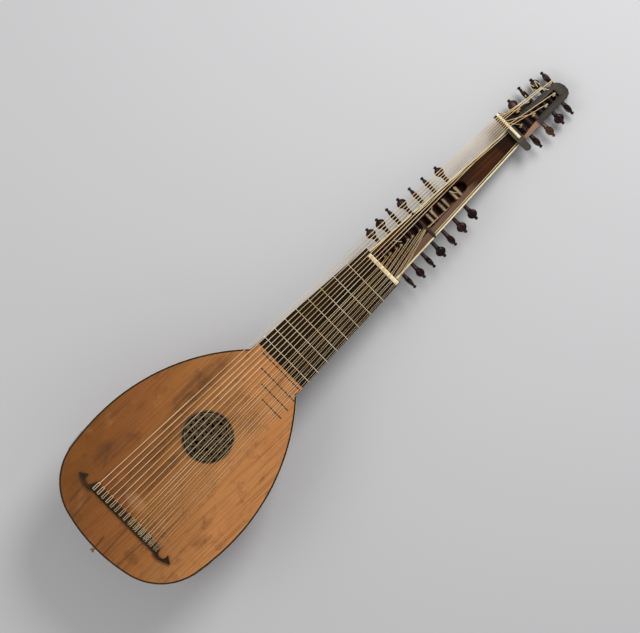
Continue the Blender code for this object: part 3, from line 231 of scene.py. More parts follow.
BUTTON_SHANK = 0.0025
BUTTON_REACH = 0.0075
BUTTON_IN = 0.0080
BUTTON_Z = -0.0120

# Values worked out from the sizes above
HALF_BODY = BODY_WIDTH / 2
BOARD_UNDER = -BOARD_THICK
RIM_Z = BOARD_UNDER - GAP
NECK_END = STRING_LENGTH + NUT_LENGTH + 0.001
EXTENSION_START = NECK_END + GAP
UPPER_CENTRE_X = HALF_BODY - UPPER_SIDE_RADIUS
NECK_JOINT = WIDEST_Y + math.sqrt(UPPER_SIDE_RADIUS**2 - (NECK_WIDTH_BODY / 2 - UPPER_CENTRE_X) ** 2)
HEAD_START = EXTENSION_END + GAP

# Sizes that only the looks have
OUTLINE_STEPS = (28, 28, 12, 48)
RIB_BULGE = 0.0004
RIB_LINE = 0.00045
RIM_LINE_OUT = 0.0006
PEG_FACETS = 28
STRING_SIDES_LEVEL = 3
WINDING_POINTS = 20


# Where the lute lies: a tilt about X, then a shift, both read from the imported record


def lay_matrix():
    mount = next(m for m in frame["record"]["mounts"] if m["name"] == "soundboard_face")
    axis = Vector(mount["axis"])
    turn = Matrix.Rotation(-math.atan2(axis.y, axis.z), 4, "X")
    own_place = Vector((0.115, 0.060, 0.0))
    return Matrix.Translation(Vector(mount["pos_m"]) - turn @ own_place) @ turn


LAY = lay_matrix()


# Helpers: meshes


def outward(mesh):
    bm = bmesh.new()
    bm.from_mesh(mesh)
    bmesh.ops.remove_doubles(bm, verts=bm.verts, dist=1e-7)
    bmesh.ops.recalc_face_normals(bm, faces=bm.faces)
    bm.to_mesh(mesh)
    bm.free()
    return mesh


def loft(name, rings, closed=False):
    """A closed mesh through rings of points, or a ring of rings when it is closed."""
    bm = bmesh.new()
    rows = [[bm.verts.new(point) for point in ring] for ring in rings]
    count = len(rows[0])
    pairs = list(zip(rows, rows[1:]))
    if closed:
        pairs.append((rows[-1], rows[0]))
    for low, high in pairs:
        for k in range(count):
            nxt = (k + 1) % count
            bm.faces.new((low[k], low[nxt], high[nxt], high[k]))
    if not closed:
        bm.faces.new(rows[0])
        bm.faces.new(rows[-1])
    made = bpy.data.meshes.new(name)
    bm.to_mesh(made)
    bm.free()
    return outward(made)


def from_curve(name, curve):
    shown = bpy.data.objects.new(name, curve)
    bpy.context.scene.collection.objects.link(shown)
    bpy.context.view_layer.update()
    made = bpy.data.meshes.new_from_object(shown.evaluated_get(bpy.context.evaluated_depsgraph_get()))
    bpy.data.objects.remove(shown)
    bpy.data.curves.remove(curve)
    return made


def plate(name, loops, low_z, high_z):
    """A flat plate: the first loop is its outline, and each further loop is a hole."""
    curve = bpy.data.curves.new(name, "CURVE")
    curve.dimensions = "2D"
    curve.fill_mode = "BOTH"
    curve.extrude = (high_z - low_z) / 2
    for points in loops:
        spline = curve.splines.new("POLY")
        spline.points.add(len(points) - 1)
        for point, (x, y) in zip(spline.points, points):
            point.co = (x, y, 0.0, 1.0)
        spline.use_cyclic_u = True
    made = from_curve(name, curve)
    made.transform(Matrix.Translation((0.0, 0.0, (low_z + high_z) / 2)))
    return outward(made)


def tube(name, points, radius, closed=False, level=STRING_SIDES_LEVEL):
    curve = bpy.data.curves.new(name, "CURVE")
    curve.dimensions = "3D"
    curve.bevel_depth = radius
    curve.bevel_resolution = level
    curve.use_fill_caps = not closed
    spline = curve.splines.new("POLY")
    spline.points.add(len(points) - 1)
    for point, co in zip(spline.points, points):
        point.co = (*co, 1.0)
    spline.use_cyclic_u = closed
    return outward(from_curve(name, curve))


def joined(name, meshes):
    bm = bmesh.new()
    for part in meshes:
        bm.from_mesh(part)
    made = bpy.data.meshes.new(name)
    bm.to_mesh(made)
    bm.free()
    return made


def lathe(name, profile, sides, start_y, centre_z):
    """A turned piece along Y, from (radius, distance) pairs."""
    rings = []
    for radius, along in profile:
        turns = [2 * math.pi * k / sides for k in range(sides)]
        rings.append(
            [(radius * math.cos(a), start_y + along, centre_z + radius * math.sin(a)) for a in turns]
        )
    return loft(name, rings)


# Helpers: pieces of the object


def piece(name, mesh, finish, body="lute", replaces=(), smooth=30):
    """Lays a mesh down with the lute, puts it on the body it rides on, and hides the CAD nodes it replaces."""
    mesh.transform(LAY)
    thing = bpy.data.objects.new(name, mesh)
    bpy.context.scene.collection.objects.link(thing)
    mesh.materials.clear()
    mesh.materials.append(finish)
    mesh.shade_smooth()
    mesh.set_sharp_from_angle(angle=math.radians(smooth))
    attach(thing, body)
    if replaces:
        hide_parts(*replaces)
    return thing


def ease(thing, width, segments=2, degrees=35):
    """Rounds the sharp edges of a piece."""
    step = thing.modifiers.new("eased_edges", "BEVEL")
    step.width = width
    step.segments = segments
    step.limit_method = "ANGLE"
    step.angle_limit = math.radians(degrees)
    step.harden_normals = False
    return thing


def repaint(finish, *nodes):
    """Gives a better finish to CAD nodes that are shown as they are."""
    for node in nodes:
        for slot in frame["nodes"][node].material_slots:
            slot.material = finish


# Helpers: materials


def tone(red, green, blue):
    """A colour from screen levels of 0 to 255."""
    levels = [v / 255 for v in (red, green, blue)]
    return (*[v / 12.92 if v <= 0.04045 else ((v + 0.055) / 1.055) ** 2.4 for v in levels], 1.0)


class Look:
    """A material of nodes in the lute's own axes, with short helpers that add and join them."""

    def __init__(self, name, roughness, metallic=0.0):
        self.made = bpy.data.materials.new(name)
        self.made.use_nodes = True
        self.tree = self.made.node_tree
        self.shader = self.tree.nodes["Principled BSDF"]
        self.shader.inputs["Roughness"].default_value = roughness
        self.shader.inputs["Metallic"].default_value = metallic
        source = self.node("ShaderNodeTexCoord")
        inputs = {"Vector": source.outputs["Object"], "Location": LAY.translation, "Rotation": LAY.to_euler()}
        self.place = self.node("ShaderNodeMapping", inputs, vector_type="TEXTURE").outputs[0]
        self.uv = source.outputs["UV"]
        split = self.node("ShaderNodeSeparateXYZ", {0: self.place})
        self.x, self.y, self.z = split.outputs

    def node(self, kind, inputs=None, **settings):
        made = self.tree.nodes.new(kind)
        for key, value in settings.items():
            setattr(made, key, value)
        for key, value in (inputs or {}).items():
            if isinstance(value, bpy.types.NodeSocket):
                self.tree.links.new(value, made.inputs[key])
            else:
                made.inputs[key].default_value = value
        return made

    def calc(self, operation, first, second=0.0, clamp=False):
        made = self.node("ShaderNodeMath", {0: first, 1: second}, operation=operation, use_clamp=clamp)
        return made.outputs[0]

    def span(self, value, low, high, to_low=0.0, to_high=1.0, smooth=True):
        """A value from low to high, mapped with soft ends."""
        kind = "SMOOTHSTEP" if smooth else "LINEAR"
        inputs = {0: value, 1: low, 2: high, 3: to_low, 4: to_high}
        return self.node("ShaderNodeMapRange", inputs, interpolation_type=kind).outputs[0]

    def noise(self, scale, stretch=(1, 1, 1), detail=3.0, rough=0.55, distortion=0.0, source=None):
        moved = self.node("ShaderNodeMapping", {"Vector": source or self.place, "Scale": stretch})
        inputs = {
            "Vector": moved.outputs[0],
            "Scale": scale,
            "Detail": detail,
            "Roughness": rough,
            "Distortion": distortion,
        }
        return self.node("ShaderNodeTexNoise", inputs).outputs[0]

    def ramp(self, value, *stops):
        made = self.node("ShaderNodeValToRGB", {0: value})
        band = made.color_ramp
        while len(band.elements) < len(stops):
            band.elements.new(1.0)
        for element, (place, colour) in zip(band.elements, stops):
            element.position = place
            element.color = colour
        return made.outputs[0]

    def blend(self, share, first, second, how="MIX"):
        made = self.node("ShaderNodeMix", {0: share, 6: first, 7: second}, data_type="RGBA", blend_type=how)
        return made.outputs[2]

    def spot(self, x, y, wide, long):
        """A soft round mask on the soundboard: 1 at its middle, 0 past its edge."""
        across = self.calc("DIVIDE", self.calc("SUBTRACT", self.x, x), wide)
        along = self.calc("DIVIDE", self.calc("SUBTRACT", self.y, y), long)
        square = self.calc("ADD", self.calc("MULTIPLY", across, across), self.calc("MULTIPLY", along, along))
        return self.span(square, 1.0, 0.0)

    def colour(self, socket):
        self.tree.links.new(socket, self.shader.inputs["Base Color"])
        return self

    def shine(self, socket):
        self.tree.links.new(socket, self.shader.inputs["Roughness"])
        return self

    def gloss(self, level):
        self.shader.inputs["Specular IOR Level"].default_value = level
        return self

    def relief(self, height, depth, strength=1.0):
        """Bumps of a depth in metres."""
        inputs = {"Strength": strength, "Distance": depth, "Height": height}
        bump = self.node("ShaderNodeBump", inputs)
        self.tree.links.new(bump.outputs[0], self.shader.inputs["Normal"])
        return self


def grained(
    name, light, middle, dark, roughness, scale=260.0, along="y", depth=0.00006, wear=0.0, gloss=0.3, areas=()
):
    """Wood with lines along one axis, broad streaks, pores and a slightly uneven polish.

    Each area is the x and y that it spans, in metres, its colour and its strength.
    """
    look = Look(name, roughness).gloss(gloss)
    stretch = {"y": (1, 0.035, 1), "x": (0.035, 1, 1)}[along]
    lines = look.noise(scale, stretch, 5.0, 0.62, 0.4)
    streaks = look.noise(scale * 0.16, stretch, 3.0, 0.5, 0.8)
    patches = look.noise(26.0, (1, 0.4, 1), 3.0)
    mixed = look.calc("ADD", look.calc("MULTIPLY", lines, 0.5), look.calc("MULTIPLY", streaks, 0.5))
    mixed = look.calc("ADD", mixed, look.calc("MULTIPLY", look.calc("SUBTRACT", patches, 0.5), 0.35))
    colour = look.ramp(mixed, (0.34, dark), (0.50, middle), (0.66, light))
    pores = look.noise(scale * 3.2, stretch, 2.0)
    colour = look.blend(look.span(pores, 0.62, 0.70, 0.0, 0.45), colour, dark)
    if wear:
        edge = look.node("ShaderNodeNewGeometry").outputs["Pointiness"]
        worn = look.calc("MULTIPLY", look.span(edge, 0.52, 0.60), wear)
        colour = look.blend(worn, colour, light)
    for (x0, x1), (y0, y1), other, strength in areas:
        soft = (y1 - y0) * 0.14
        across = look.calc("MULTIPLY", look.span(look.x, x0, x0 + 0.003), look.span(look.x, x1, x1 - 0.003))
        along_y = look.calc("MULTIPLY", look.span(look.y, y0, y0 + soft), look.span(look.y, y1, y1 - soft))
        mask = look.calc("MULTIPLY", look.calc("MULTIPLY", across, along_y), look.span(streaks, 0.1, 0.5, 0.6, 1.0))
        colour = look.blend(look.calc("MULTIPLY", mask, strength), colour, other)
    look.colour(colour)
    look.shine(look.span(patches, 0.3, 0.7, roughness - 0.07, roughness + 0.09))
    look.relief(look.calc("SUBTRACT", lines, look.span(pores, 0.60, 0.72, 0.0, 0.5)), depth)
    return look.made


# Finish of the soundboard

# Dark stains in the varnish: x, y, half-width, half-length, strength
STAINS = (
    (-0.106, 0.048, 0.026, 0.036, 0.55),
    (-0.088, 0.094, 0.016, 0.030, 0.30),
    (-0.121, 0.150, 0.014, 0.020, 0.22),
    (-0.075, 0.255, 0.024, 0.100, 0.62),
    (-0.050, 0.120, 0.024, 0.120, 0.52),
    (-0.012, 0.105, 0.014, 0.090, 0.42),
    (-0.030, 0.060, 0.010, 0.060, 0.34),
    (0.126, 0.056, 0.014, 0.022, 0.34),
    (0.110, 0.086, 0.010, 0.018, 0.26),
    (0.058, -0.052, 0.020, 0.013, 0.42),
    (0.012, 0.270, 0.060, 0.050, 0.34),
    (-0.040, 0.020, 0.050, 0.016, 0.40),
    (0.050, 0.016, 0.044, 0.012, 0.30),
    (-0.108, -0.020, 0.016, 0.020, 0.30),
)

# Cracks and open joints: x at its upper end, x at its lower end, upper y, lower y, half-width
CRACKS = (
    (-0.0718, -0.0648, -0.024, -0.086, 0.00062),
    (0.0162, 0.0192, -0.020, -0.086, 0.00070),
    (0.0540, 0.0506, -0.018, -0.082, 0.00055),
    (-0.0030, 0.0005, -0.060, -0.090, 0.00115),
    (-0.0660, -0.0660, 0.230, 0.150, 0.00040),
    (-0.0950, -0.0905, -0.012, -0.060, 0.00050),
)

# Tone of the varnish from the bass side of the tail to the treble side of the neck, with painted light: darker on the
# bass side and lighter on the treble side, partly the varnish's own tone and partly painted shading of light falling
# from the treble side
VARNISH_AND_PAINTED_LIGHT = (
    (0.0, tone(122, 71, 18)),
    (0.27, tone(141, 84, 36)),
    (0.5, tone(154, 96, 42)),
    (0.7, tone(163, 107, 56)),
    (1.0, tone(190, 126, 71)),
)


def crack_mask(look, top_x, low_x, top_y, low_y, half, wander):
    slope = (top_x - low_x) / (top_y - low_y)
    line = look.calc("ADD", look.calc("MULTIPLY", look.y, slope), top_x - slope * top_y)
    off = look.calc("ABSOLUTE", look.calc("ADD", look.calc("SUBTRACT", look.x, line), wander))
    inside = look.span(off, half * 1.6, half * 0.4)
    above = look.span(look.y, low_y - 0.004, low_y + 0.004)
    below = look.span(look.y, top_y + 0.004, top_y - 0.004)
    return look.calc("MULTIPLY", inside, look.calc("MULTIPLY", above, below))


def soundboard_look():
    look = Look("aged_spruce_look", 0.42).gloss(0.25)
    orange, brown, dirt = tone(160, 92, 28), tone(92, 54, 24), tone(86, 50, 20)
    growth = look.noise(820.0, (1, 0.012, 1), 3.0, 0.5, 0.25)
    lines = look.noise(330.0, (1, 0.02, 1), 2.0, 0.5, 0.3)
    streaks = look.noise(120.0, (1, 0.03, 1), 3.0, 0.55, 0.5)
    clouds = look.noise(17.0, (1, 0.7, 1), 6.0, 0.62)
    mottle = look.noise(46.0, (1, 0.7, 1), 5.0, 0.65, 0.4)
    speckle = look.noise(150.0, (1, 0.55, 1), 5.0, 0.7)
    side = look.calc("ADD", look.x, look.calc("MULTIPLY", look.y, 0.6))
    # painted light: the board is shaded darker towards the bass side and lit lighter towards the treble side, over
    # the varnish's own tone
    colour = look.ramp(look.span(side, -0.12, 0.18, smooth=False), *VARNISH_AND_PAINTED_LIGHT)
    colour = look.blend(look.span(clouds, 0.52, 0.74, 0.0, 0.36), colour, orange)
    colour = look.blend(look.span(clouds, 0.46, 0.28, 0.0, 0.24), colour, tone(198, 150, 100))
    colour = look.blend(look.span(mottle, 0.52, 0.72, 0.0, 0.46), colour, brown)
    colour = look.blend(look.span(speckle, 0.58, 0.74, 0.0, 0.40), colour, brown)
    colour = look.blend(look.span(streaks, 0.52, 0.74, 0.0, 0.36), colour, brown)
    ragged = look.calc("ADD", look.span(mottle, 0.35, 0.65, 0.35, 1.0), look.span(streaks, 0.4, 0.65, 0.0, 0.6))
    for x, y, wide, long, strength in STAINS:
        mask = look.calc("MULTIPLY", look.spot(x, y, wide, long), ragged)
        colour = look.blend(look.calc("MULTIPLY", mask, strength, clamp=True), colour, dirt)
    pale = look.calc("MULTIPLY", look.spot(-0.006, 0.024, 0.032, 0.016), 0.40)
    colour = look.blend(pale, colour, tone(190, 144, 98))
    grime = look.calc("MULTIPLY", look.spot(0.0, ROSE_Y, 0.060, 0.060), 0.55)
    colour = look.blend(grime, colour, tone(84, 52, 28))
    colour = look.blend(look.span(lines, 0.50, 0.66, 0.0, 0.34), colour, brown)
    colour = look.blend(look.span(growth, 0.52, 0.66, 0.0, 0.26), colour, brown)
    wander = look.calc("MULTIPLY", look.calc("SUBTRACT", look.noise(60.0, (1, 1, 1), 2.0), 0.5), 0.0022)
    cracks, halo = None, None
    for crack in CRACKS:
        mask = crack_mask(look, *crack, wander)
        around = crack_mask(look, *crack[:4], 0.0034, wander)
        cracks = mask if cracks is None else look.calc("MAXIMUM", cracks, mask)
        halo = around if halo is None else look.calc("MAXIMUM", halo, around)
    colour = look.blend(look.calc("MULTIPLY", halo, 0.30), colour, brown)
    colour = look.blend(look.calc("MULTIPLY", cracks, 0.62), colour, tone(52, 30, 16))
    look.colour(colour)
    look.shine(look.span(clouds, 0.3, 0.7, 0.36, 0.52))
    height = look.calc("SUBTRACT", look.calc("MULTIPLY", growth, 0.35), look.calc("MULTIPLY", cracks, 2.0))
    look.relief(height, 0.00012)
    return look.made


# Other finishes


def ivory_look():
    look = Look("bone_look", 0.32)
    lines = look.noise(420.0, (1, 0.05, 1), 4.0, 0.6, 0.3)
    clouds = look.noise(40.0, (1, 0.5, 1), 3.0)
    colour = look.ramp(lines, (0.30, tone(196, 172, 122)), (0.52, tone(232, 218, 176)), (0.75, tone(244, 236, 204)))
    colour = look.blend(look.span(clouds, 0.5, 0.75, 0.0, 0.45), colour, tone(206, 168, 104))
    look.colour(colour)
    look.shader.inputs["Subsurface Weight"].default_value = 0.12
    look.shader.inputs["Subsurface Scale"].default_value = 0.002
    look.relief(lines, 0.00003)
    return look.made


def gut_look(name, low, middle, high):
    look = Look(name, 0.38).gloss(0.3)
    cloud = look.noise(30.0, (1, 0.3, 1), 3.0)
    fine = look.noise(900.0, (1, 0.2, 1), 2.0)
    colour = look.ramp(cloud, (0.32, low), (0.5, middle), (0.7, high))
    colour = look.blend(look.span(fine, 0.55, 0.7, 0.0, 0.25), colour, low)
    # painted shade: gut lying 4 to 6 mm or more below the soundboard's top, such as the windings in the pegboxes,
    # darkens towards dark brown
    pegbox_shade = look.span(look.z, -0.0041, -0.0056)
    colour = look.blend(look.calc("MULTIPLY", pegbox_shade, 0.86), colour, tone(46, 30, 18))
    look.colour(colour)
    look.shader.inputs["Subsurface Weight"].default_value = 0.1
    look.shader.inputs["Subsurface Scale"].default_value = 0.001
    look.relief(fine, 0.00003)
    return look.made


def metal_look(name, bright, tarnish, roughness):
    look = Look(name, roughness, 1.0)
    cloud = look.noise(500.0, (1, 1, 1), 4.0, 0.65)
    look.colour(look.ramp(cloud, (0.35, tarnish), (0.6, bright)))
    look.shine(look.span(cloud, 0.3, 0.7, roughness - 0.08, roughness + 0.15))
    look.relief(cloud, 0.00004)
    return look.made


def rib_look():
    """Ribs that each have their own tone, from a UV map with one unit of width for each rib."""
    look = Look("rib_look", 0.26)
    split = look.node("ShaderNodeSeparateXYZ", {0: look.uv})
    number = look.calc("FLOOR", split.outputs[0])
    own = look.node("ShaderNodeTexWhiteNoise", {"W": number}, noise_dimensions="1D").outputs[0]
    apart = look.node("ShaderNodeCombineXYZ", {0: look.calc("MULTIPLY", split.outputs[0], 9.0)})
    look.tree.links.new(look.calc("MULTIPLY", split.outputs[1], 6.0), apart.inputs[1])
    look.tree.links.new(look.calc("MULTIPLY", number, 3.7), apart.inputs[2])
    flow = look.noise(2.2, (1, 0.12, 1), 5.0, 0.6, 1.2, apart.outputs[0])
    figure = look.noise(1.4, (0.4, 9.0, 1), 3.0, 0.5, 0.6, apart.outputs[0])
    mixed = look.calc("ADD", flow, look.calc("MULTIPLY", look.calc("SUBTRACT", own, 0.5), 0.22))
    colour = look.ramp(mixed, (0.30, tone(58, 24, 12)), (0.5, tone(104, 48, 22)), (0.72, tone(146, 78, 38)))
    colour = look.blend(look.span(figure, 0.45, 0.7, 0.0, 0.3), colour, tone(160, 92, 46))
    look.colour(colour)
    look.shader.inputs["Coat Weight"].default_value = 0.35
    look.shader.inputs["Coat Roughness"].default_value = 0.12
    look.relief(flow, 0.00005)
    return look.made


def make_finishes():
    dark = tone(22, 15, 14)
    return {
        "spruce": soundboard_look(),
        "rib": rib_look(),
        "bone": ivory_look(),
        "fret": gut_look("fret_gut_look", tone(214, 186, 140), tone(240, 224, 188), tone(252, 244, 222)),
        "gut": gut_look("gut_look", tone(186, 150, 98), tone(220, 190, 142), tone(240, 220, 180)),
        "bare_spruce": grained("bare_spruce_look", tone(206, 170, 120), tone(184, 144, 94), tone(150, 108, 64), 0.6),
        "binding": grained("binding_look", tone(52, 36, 36), tone(28, 19, 20), dark, 0.34, wear=0.3),
        "rose": grained("rose_look", tone(62, 52, 40), tone(40, 33, 25), tone(18, 14, 12), 0.6, 420.0, gloss=0.08),
        "ridge": grained("ridge_look", tone(126, 112, 92), tone(92, 80, 64), tone(54, 45, 35), 0.6, 420.0, gloss=0.1),
        "fingerboard": grained(
            "fingerboard_look", tone(48, 36, 26), tone(27, 19, 13), tone(12, 8, 6), 0.55, depth=0.00012, gloss=0.08
        ),
        "neck": grained("neck_look", tone(56, 40, 32), tone(32, 22, 18), dark, 0.36, gloss=0.2),
        "bridge": grained(
            *("bridge_look", tone(84, 60, 36), tone(46, 31, 19), tone(18, 12, 8), 0.45, 300.0, "x"),
            wear=0.5,
            gloss=0.12,
        ),
        "extension": grained(
            *("extension_look", tone(74, 42, 22), tone(54, 29, 14), tone(28, 14, 8), 0.6),
            gloss=0.05,
            areas=(
                # painted shadow of the nut block: a dark band across the extension next to the upper nut
                ((-0.03, 0.03), (0.925, 0.99), tone(16, 9, 6), 0.6),
                ((0.0055, 0.0400), (0.630, 0.868), tone(124, 96, 78), 0.66),
            ),
        ),
        "head": grained(
            *("head_look", tone(86, 80, 70), tone(54, 50, 44), tone(24, 20, 18), 0.55),
            wear=0.4,
            gloss=0.1,
            areas=(
                # painted light: a warm lit patch on the inside of the treble cheek next to the upper nut
                ((0.0065, 0.0220), (0.974, 1.015), tone(156, 120, 98), 0.85),
                ((-0.0300, 0.0300), (1.078, 1.200), tone(46, 40, 34), 0.7),
            ),
        ),
        "peg": grained(
            "peg_look", tone(62, 30, 28), tone(28, 13, 13), tone(9, 5, 5), 0.3, 200.0, "x", wear=0.35, gloss=0.15
        ),
        "plum": grained("plum_look", tone(122, 84, 66), tone(80, 48, 34), tone(36, 18, 12), 0.3, 200.0, "x", gloss=0.25),
        "block": grained("block_look", tone(176, 140, 96), tone(150, 112, 72), tone(112, 78, 48), 0.6),
        "brass": metal_look("brass_look", tone(226, 196, 128), tone(120, 90, 48), 0.28),
        "iron": metal_look("iron_look", tone(92, 86, 82), tone(52, 40, 34), 0.5),
    }


FINISH = make_finishes()


# The body's shape, as in the frame's source but with finer arcs


def mix(start, end, share):
    return start + (end - start) * share


def arc(centre, radius, start, end, steps):
    angles = [start + (end - start) * k / steps for k in range(steps)]
    return [(centre[0] + radius * math.cos(a), centre[1] + radius * math.sin(a)) for a in angles]


def corner_centre():
    """Centre of the corner arc that touches the tail arc and the lower side arc from inside."""
    side = Vector((HALF_BODY - LOWER_SIDE_RADIUS, WIDEST_Y))
    tail = Vector((0.0, TAIL_Y + TAIL_RADIUS))
    to_side = LOWER_SIDE_RADIUS - CORNER_RADIUS
    to_tail = TAIL_RADIUS - CORNER_RADIUS
    across = tail - side
    along = (across.length_squared + to_side**2 - to_tail**2) / (2 * across.length)
    off = math.sqrt(max(to_side**2 - along**2, 0.0))
    unit = across.normalized()
    first = side + unit * along + Vector((unit.y, -unit.x)) * off
    second = side + unit * along - Vector((unit.y, -unit.x)) * off
    return first if first.y < second.y else second


def outline(inset=0.0, past_joint=0.0):
    """The treble half of the body's outline, tail to neck joint, moved in by the inset."""
    corner = corner_centre()
    tail = Vector((0.0, TAIL_Y + TAIL_RADIUS))
    side = Vector((HALF_BODY - LOWER_SIDE_RADIUS, WIDEST_Y))
    tail_angle = math.atan2(corner.y - tail.y, corner.x - tail.x)
    side_angle = math.atan2(corner.y - side.y, corner.x - side.x)
    radius = UPPER_SIDE_RADIUS - inset
    last = math.asin((NECK_JOINT + past_joint - WIDEST_Y) / radius)
    points = arc(tail, TAIL_RADIUS - inset, -math.pi / 2, tail_angle, OUTLINE_STEPS[0])
    points += arc(corner, CORNER_RADIUS - inset, tail_angle, side_angle, OUTLINE_STEPS[1])
    points += arc(side, LOWER_SIDE_RADIUS - inset, side_angle, 0.0, OUTLINE_STEPS[2])
    points += arc((UPPER_CENTRE_X, WIDEST_Y), radius, 0.0, last, OUTLINE_STEPS[3])
    points.append((UPPER_CENTRE_X + radius * math.cos(last), NECK_JOINT + past_joint))
    return points


def both_sides(points):
    return points + [(-x, y) for x, y in reversed(points) if x > 1e-6]


def side_x(y):
    """Half-width of the body past its widest place."""
    return UPPER_CENTRE_X + math.sqrt(UPPER_SIDE_RADIUS**2 - (y - WIDEST_Y) ** 2)


def depth_ratio(y):
    deep = BOWL_DEPTH / HALF_BODY
    flat = NECK_DEPTH_BODY / (NECK_WIDTH_BODY / 2)
    share = min(max((y - WIDEST_Y) / (NECK_JOINT - WIDEST_Y), 0.0), 1.1)
    return deep + (flat - deep) * share**2


def neck_half_width(y):
    return mix(NECK_WIDTH_BODY, NECK_WIDTH_NUT, (y - NECK_JOINT) / (NECK_END - NECK_JOINT)) / 2


def neck_depth(y):
    return mix(NECK_DEPTH_BODY, NECK_DEPTH_NUT, (y - NECK_JOINT) / (NECK_END - NECK_JOINT))


def neck_ring(y, facets):
    half, depth = neck_half_width(y), neck_depth(y)
    first = math.asin(-RIM_Z / depth)
    turns = [first + (math.pi - 2 * first) * k / facets for k in range(facets + 1)]
    return [(half * math.cos(a), y, -depth * math.sin(a)) for a in turns]


def extension_half_width(y):
    share = (y - EXTENSION_START) / (EXTENSION_END - EXTENSION_START)
    return mix(EXTENSION_WIDTH_START, EXTENSION_WIDTH_END, share) / 2


# Bowl and clasp


def rib_row(half_width, y):
    """A section of the bowl: points, and for each one its place across in ribs."""
    depth = half_width * depth_ratio(y)
    row = []
    for rib in range(RIBS):
        ends = []
        for turn in (math.pi * rib / RIBS, math.pi * (rib + 1) / RIBS):
            ends.append(Vector((half_width * math.cos(turn), -depth * math.sin(turn))))
        along = ends[1] - ends[0]
        normal = Vector((-along.y, along.x)).normalized()
        normal = normal if normal.dot(ends[0] + ends[1]) > 0 else -normal
        line = min(RIB_LINE / max(along.length, 1e-6), 0.12)
        for share in (0.0, line, 0.2, 0.4, 0.6, 0.8, 1.0 - line):
            bulge = RIB_BULGE * 4 * share * (1 - share) * min(1.0, along.length / 0.02)
            place = ends[0] + along * share + normal * bulge
            row.append(((place.x, y, place.y), rib + share))
    row.append(((-half_width, y, 0.0), float(RIBS)))
    return row


def bowl_surface(name, inset, cuts, lines):
    """The outside of the bowl as an open surface, cut off above the rim and at each further plane."""
    bm = bmesh.new()
    uv = bm.loops.layers.uv.new("ribs")
    rows = [rib_row(max(w, 0.0015), y) for w, y in outline(inset)]
    verts = [[bm.verts.new(point) for point, _ in row] for row in rows]
    per_rib = 7
    for j in range(len(rows) - 1):
        for k in range(len(rows[0]) - 1):
            corners = ((j, k), (j, k + 1), (j + 1, k + 1), (j + 1, k))
            face = bm.faces.new([verts[a][b] for a, b in corners])
            on_line = k % per_rib in (0, per_rib - 1) and 0 < k < len(rows[0]) - 2
            face.material_index = 1 if lines and on_line else 0
            middle = rows[j][k][1] + 1e-3
            for loop, (a, b) in zip(face.loops, corners):
                across = rows[a][b][1]
                across = min(across, math.floor(middle) + 0.999)
                loop[uv].uv = (across, rows[a][0][0][1] * 10)
    for point, normal in [((0, 0, RIM_Z), (0, 0, 1)), *cuts]:
        everything = [*bm.verts, *bm.edges, *bm.faces]
        bmesh.ops.bisect_plane(bm, geom=everything, plane_co=point, plane_no=normal, clear_outer=True)
    bmesh.ops.recalc_face_normals(bm, faces=bm.faces)
    lowest = min(bm.faces, key=lambda face: face.calc_center_median().z)
    if lowest.normal.z > 0:
        bmesh.ops.reverse_faces(bm, faces=bm.faces)
    made = bpy.data.meshes.new(name)
    bm.to_mesh(made)
    bm.free()
    return made


def shell(thing, thick):
    step = thing.modifiers.new("wall", "SOLIDIFY")
    step.thickness = thick
    step.offset = -1.0
    return thing


def make_bowl():
    mesh = bowl_surface("bowl_ribs", 0.0, [], True)
    indices = [p.material_index for p in mesh.polygons]
    bowl = piece("bowl_ribs", mesh, FINISH["rib"], replaces=["bowl"], smooth=60)
    mesh.materials.append(FINISH["bone"])
    mesh.polygons.foreach_set("material_index", indices)
    shell(bowl, RIB_THICK)


def make_clasp():
    tail = TAIL_Y - 0.01
    slope = (CLASP_HEIGHT - CLASP_END_HEIGHT) / (CLASP_END_Y - tail)
    cuts = [
        ((0, CLASP_END_Y, 0), (0, 1, 0)),
        ((0, CLASP_END_Y, RIM_Z - CLASP_END_HEIGHT), (0, -slope, -1)),
    ]
    mesh = bowl_surface("clasp_strip", -GAP - CLASP_THICK, cuts, False)
    clasp = piece("clasp_strip", mesh, FINISH["rib"], replaces=["end_clasp"], smooth=60)
    shell(clasp, CLASP_THICK)


# Soundboard, its bars, frets, binding and rose


def circle(centre_y, radius, steps):
    turns = [2 * math.pi * k / steps for k in range(steps)]
    return [(radius * math.cos(a), centre_y + radius * math.sin(a)) for a in turns]


def rim_band(name, outer_inset, inner_inset, low_z, high_z, past_joint=0.0):
    outer = both_sides(outline(outer_inset, past_joint))
    inner = both_sides(outline(inner_inset, past_joint))
    half = len(outer) // 2 + 1
    ring_out = outer[half:] + outer[:half]
    ring_in = inner[half:] + inner[:half]
    return plate(name, [ring_out + list(reversed(ring_in))], low_z, high_z)


def bowl_half_width(y, z):
    half = side_x(y) - RIB_THICK
    if y < WIDEST_Y:
        lower = LOWER_SIDE_RADIUS - RIB_THICK
        half = HALF_BODY - LOWER_SIDE_RADIUS + math.sqrt(lower**2 - (y - WIDEST_Y) ** 2)
    return half * math.sqrt(max(1.0 - (z / (half * depth_ratio(y))) ** 2, 0.0))


def bar_mesh(y):
    full = bowl_half_width(y, RIM_Z - BAR_HEIGHT) - BAR_ROOM
    scoop = full - 0.030
    lower = [(full, BOARD_UNDER - BAR_END_HEIGHT)]
    for k in range(1, 7):
        share = k / 6
        fall = (BAR_HEIGHT - BAR_END_HEIGHT) * (1 - math.cos(math.pi * share)) / 2
        lower.append((mix(full, scoop, share), BOARD_UNDER - BAR_END_HEIGHT - fall))
    right = [(full, BOARD_UNDER), *lower]
    profile = right + [(-x, z) for x, z in reversed(right)]
    return loft("bar", [[(x, y + side, z) for x, z in profile] for side in (-BAR_WIDTH / 2, BAR_WIDTH / 2)])


def fret_y(number):
    return STRING_LENGTH * 2 ** (-number / 12)


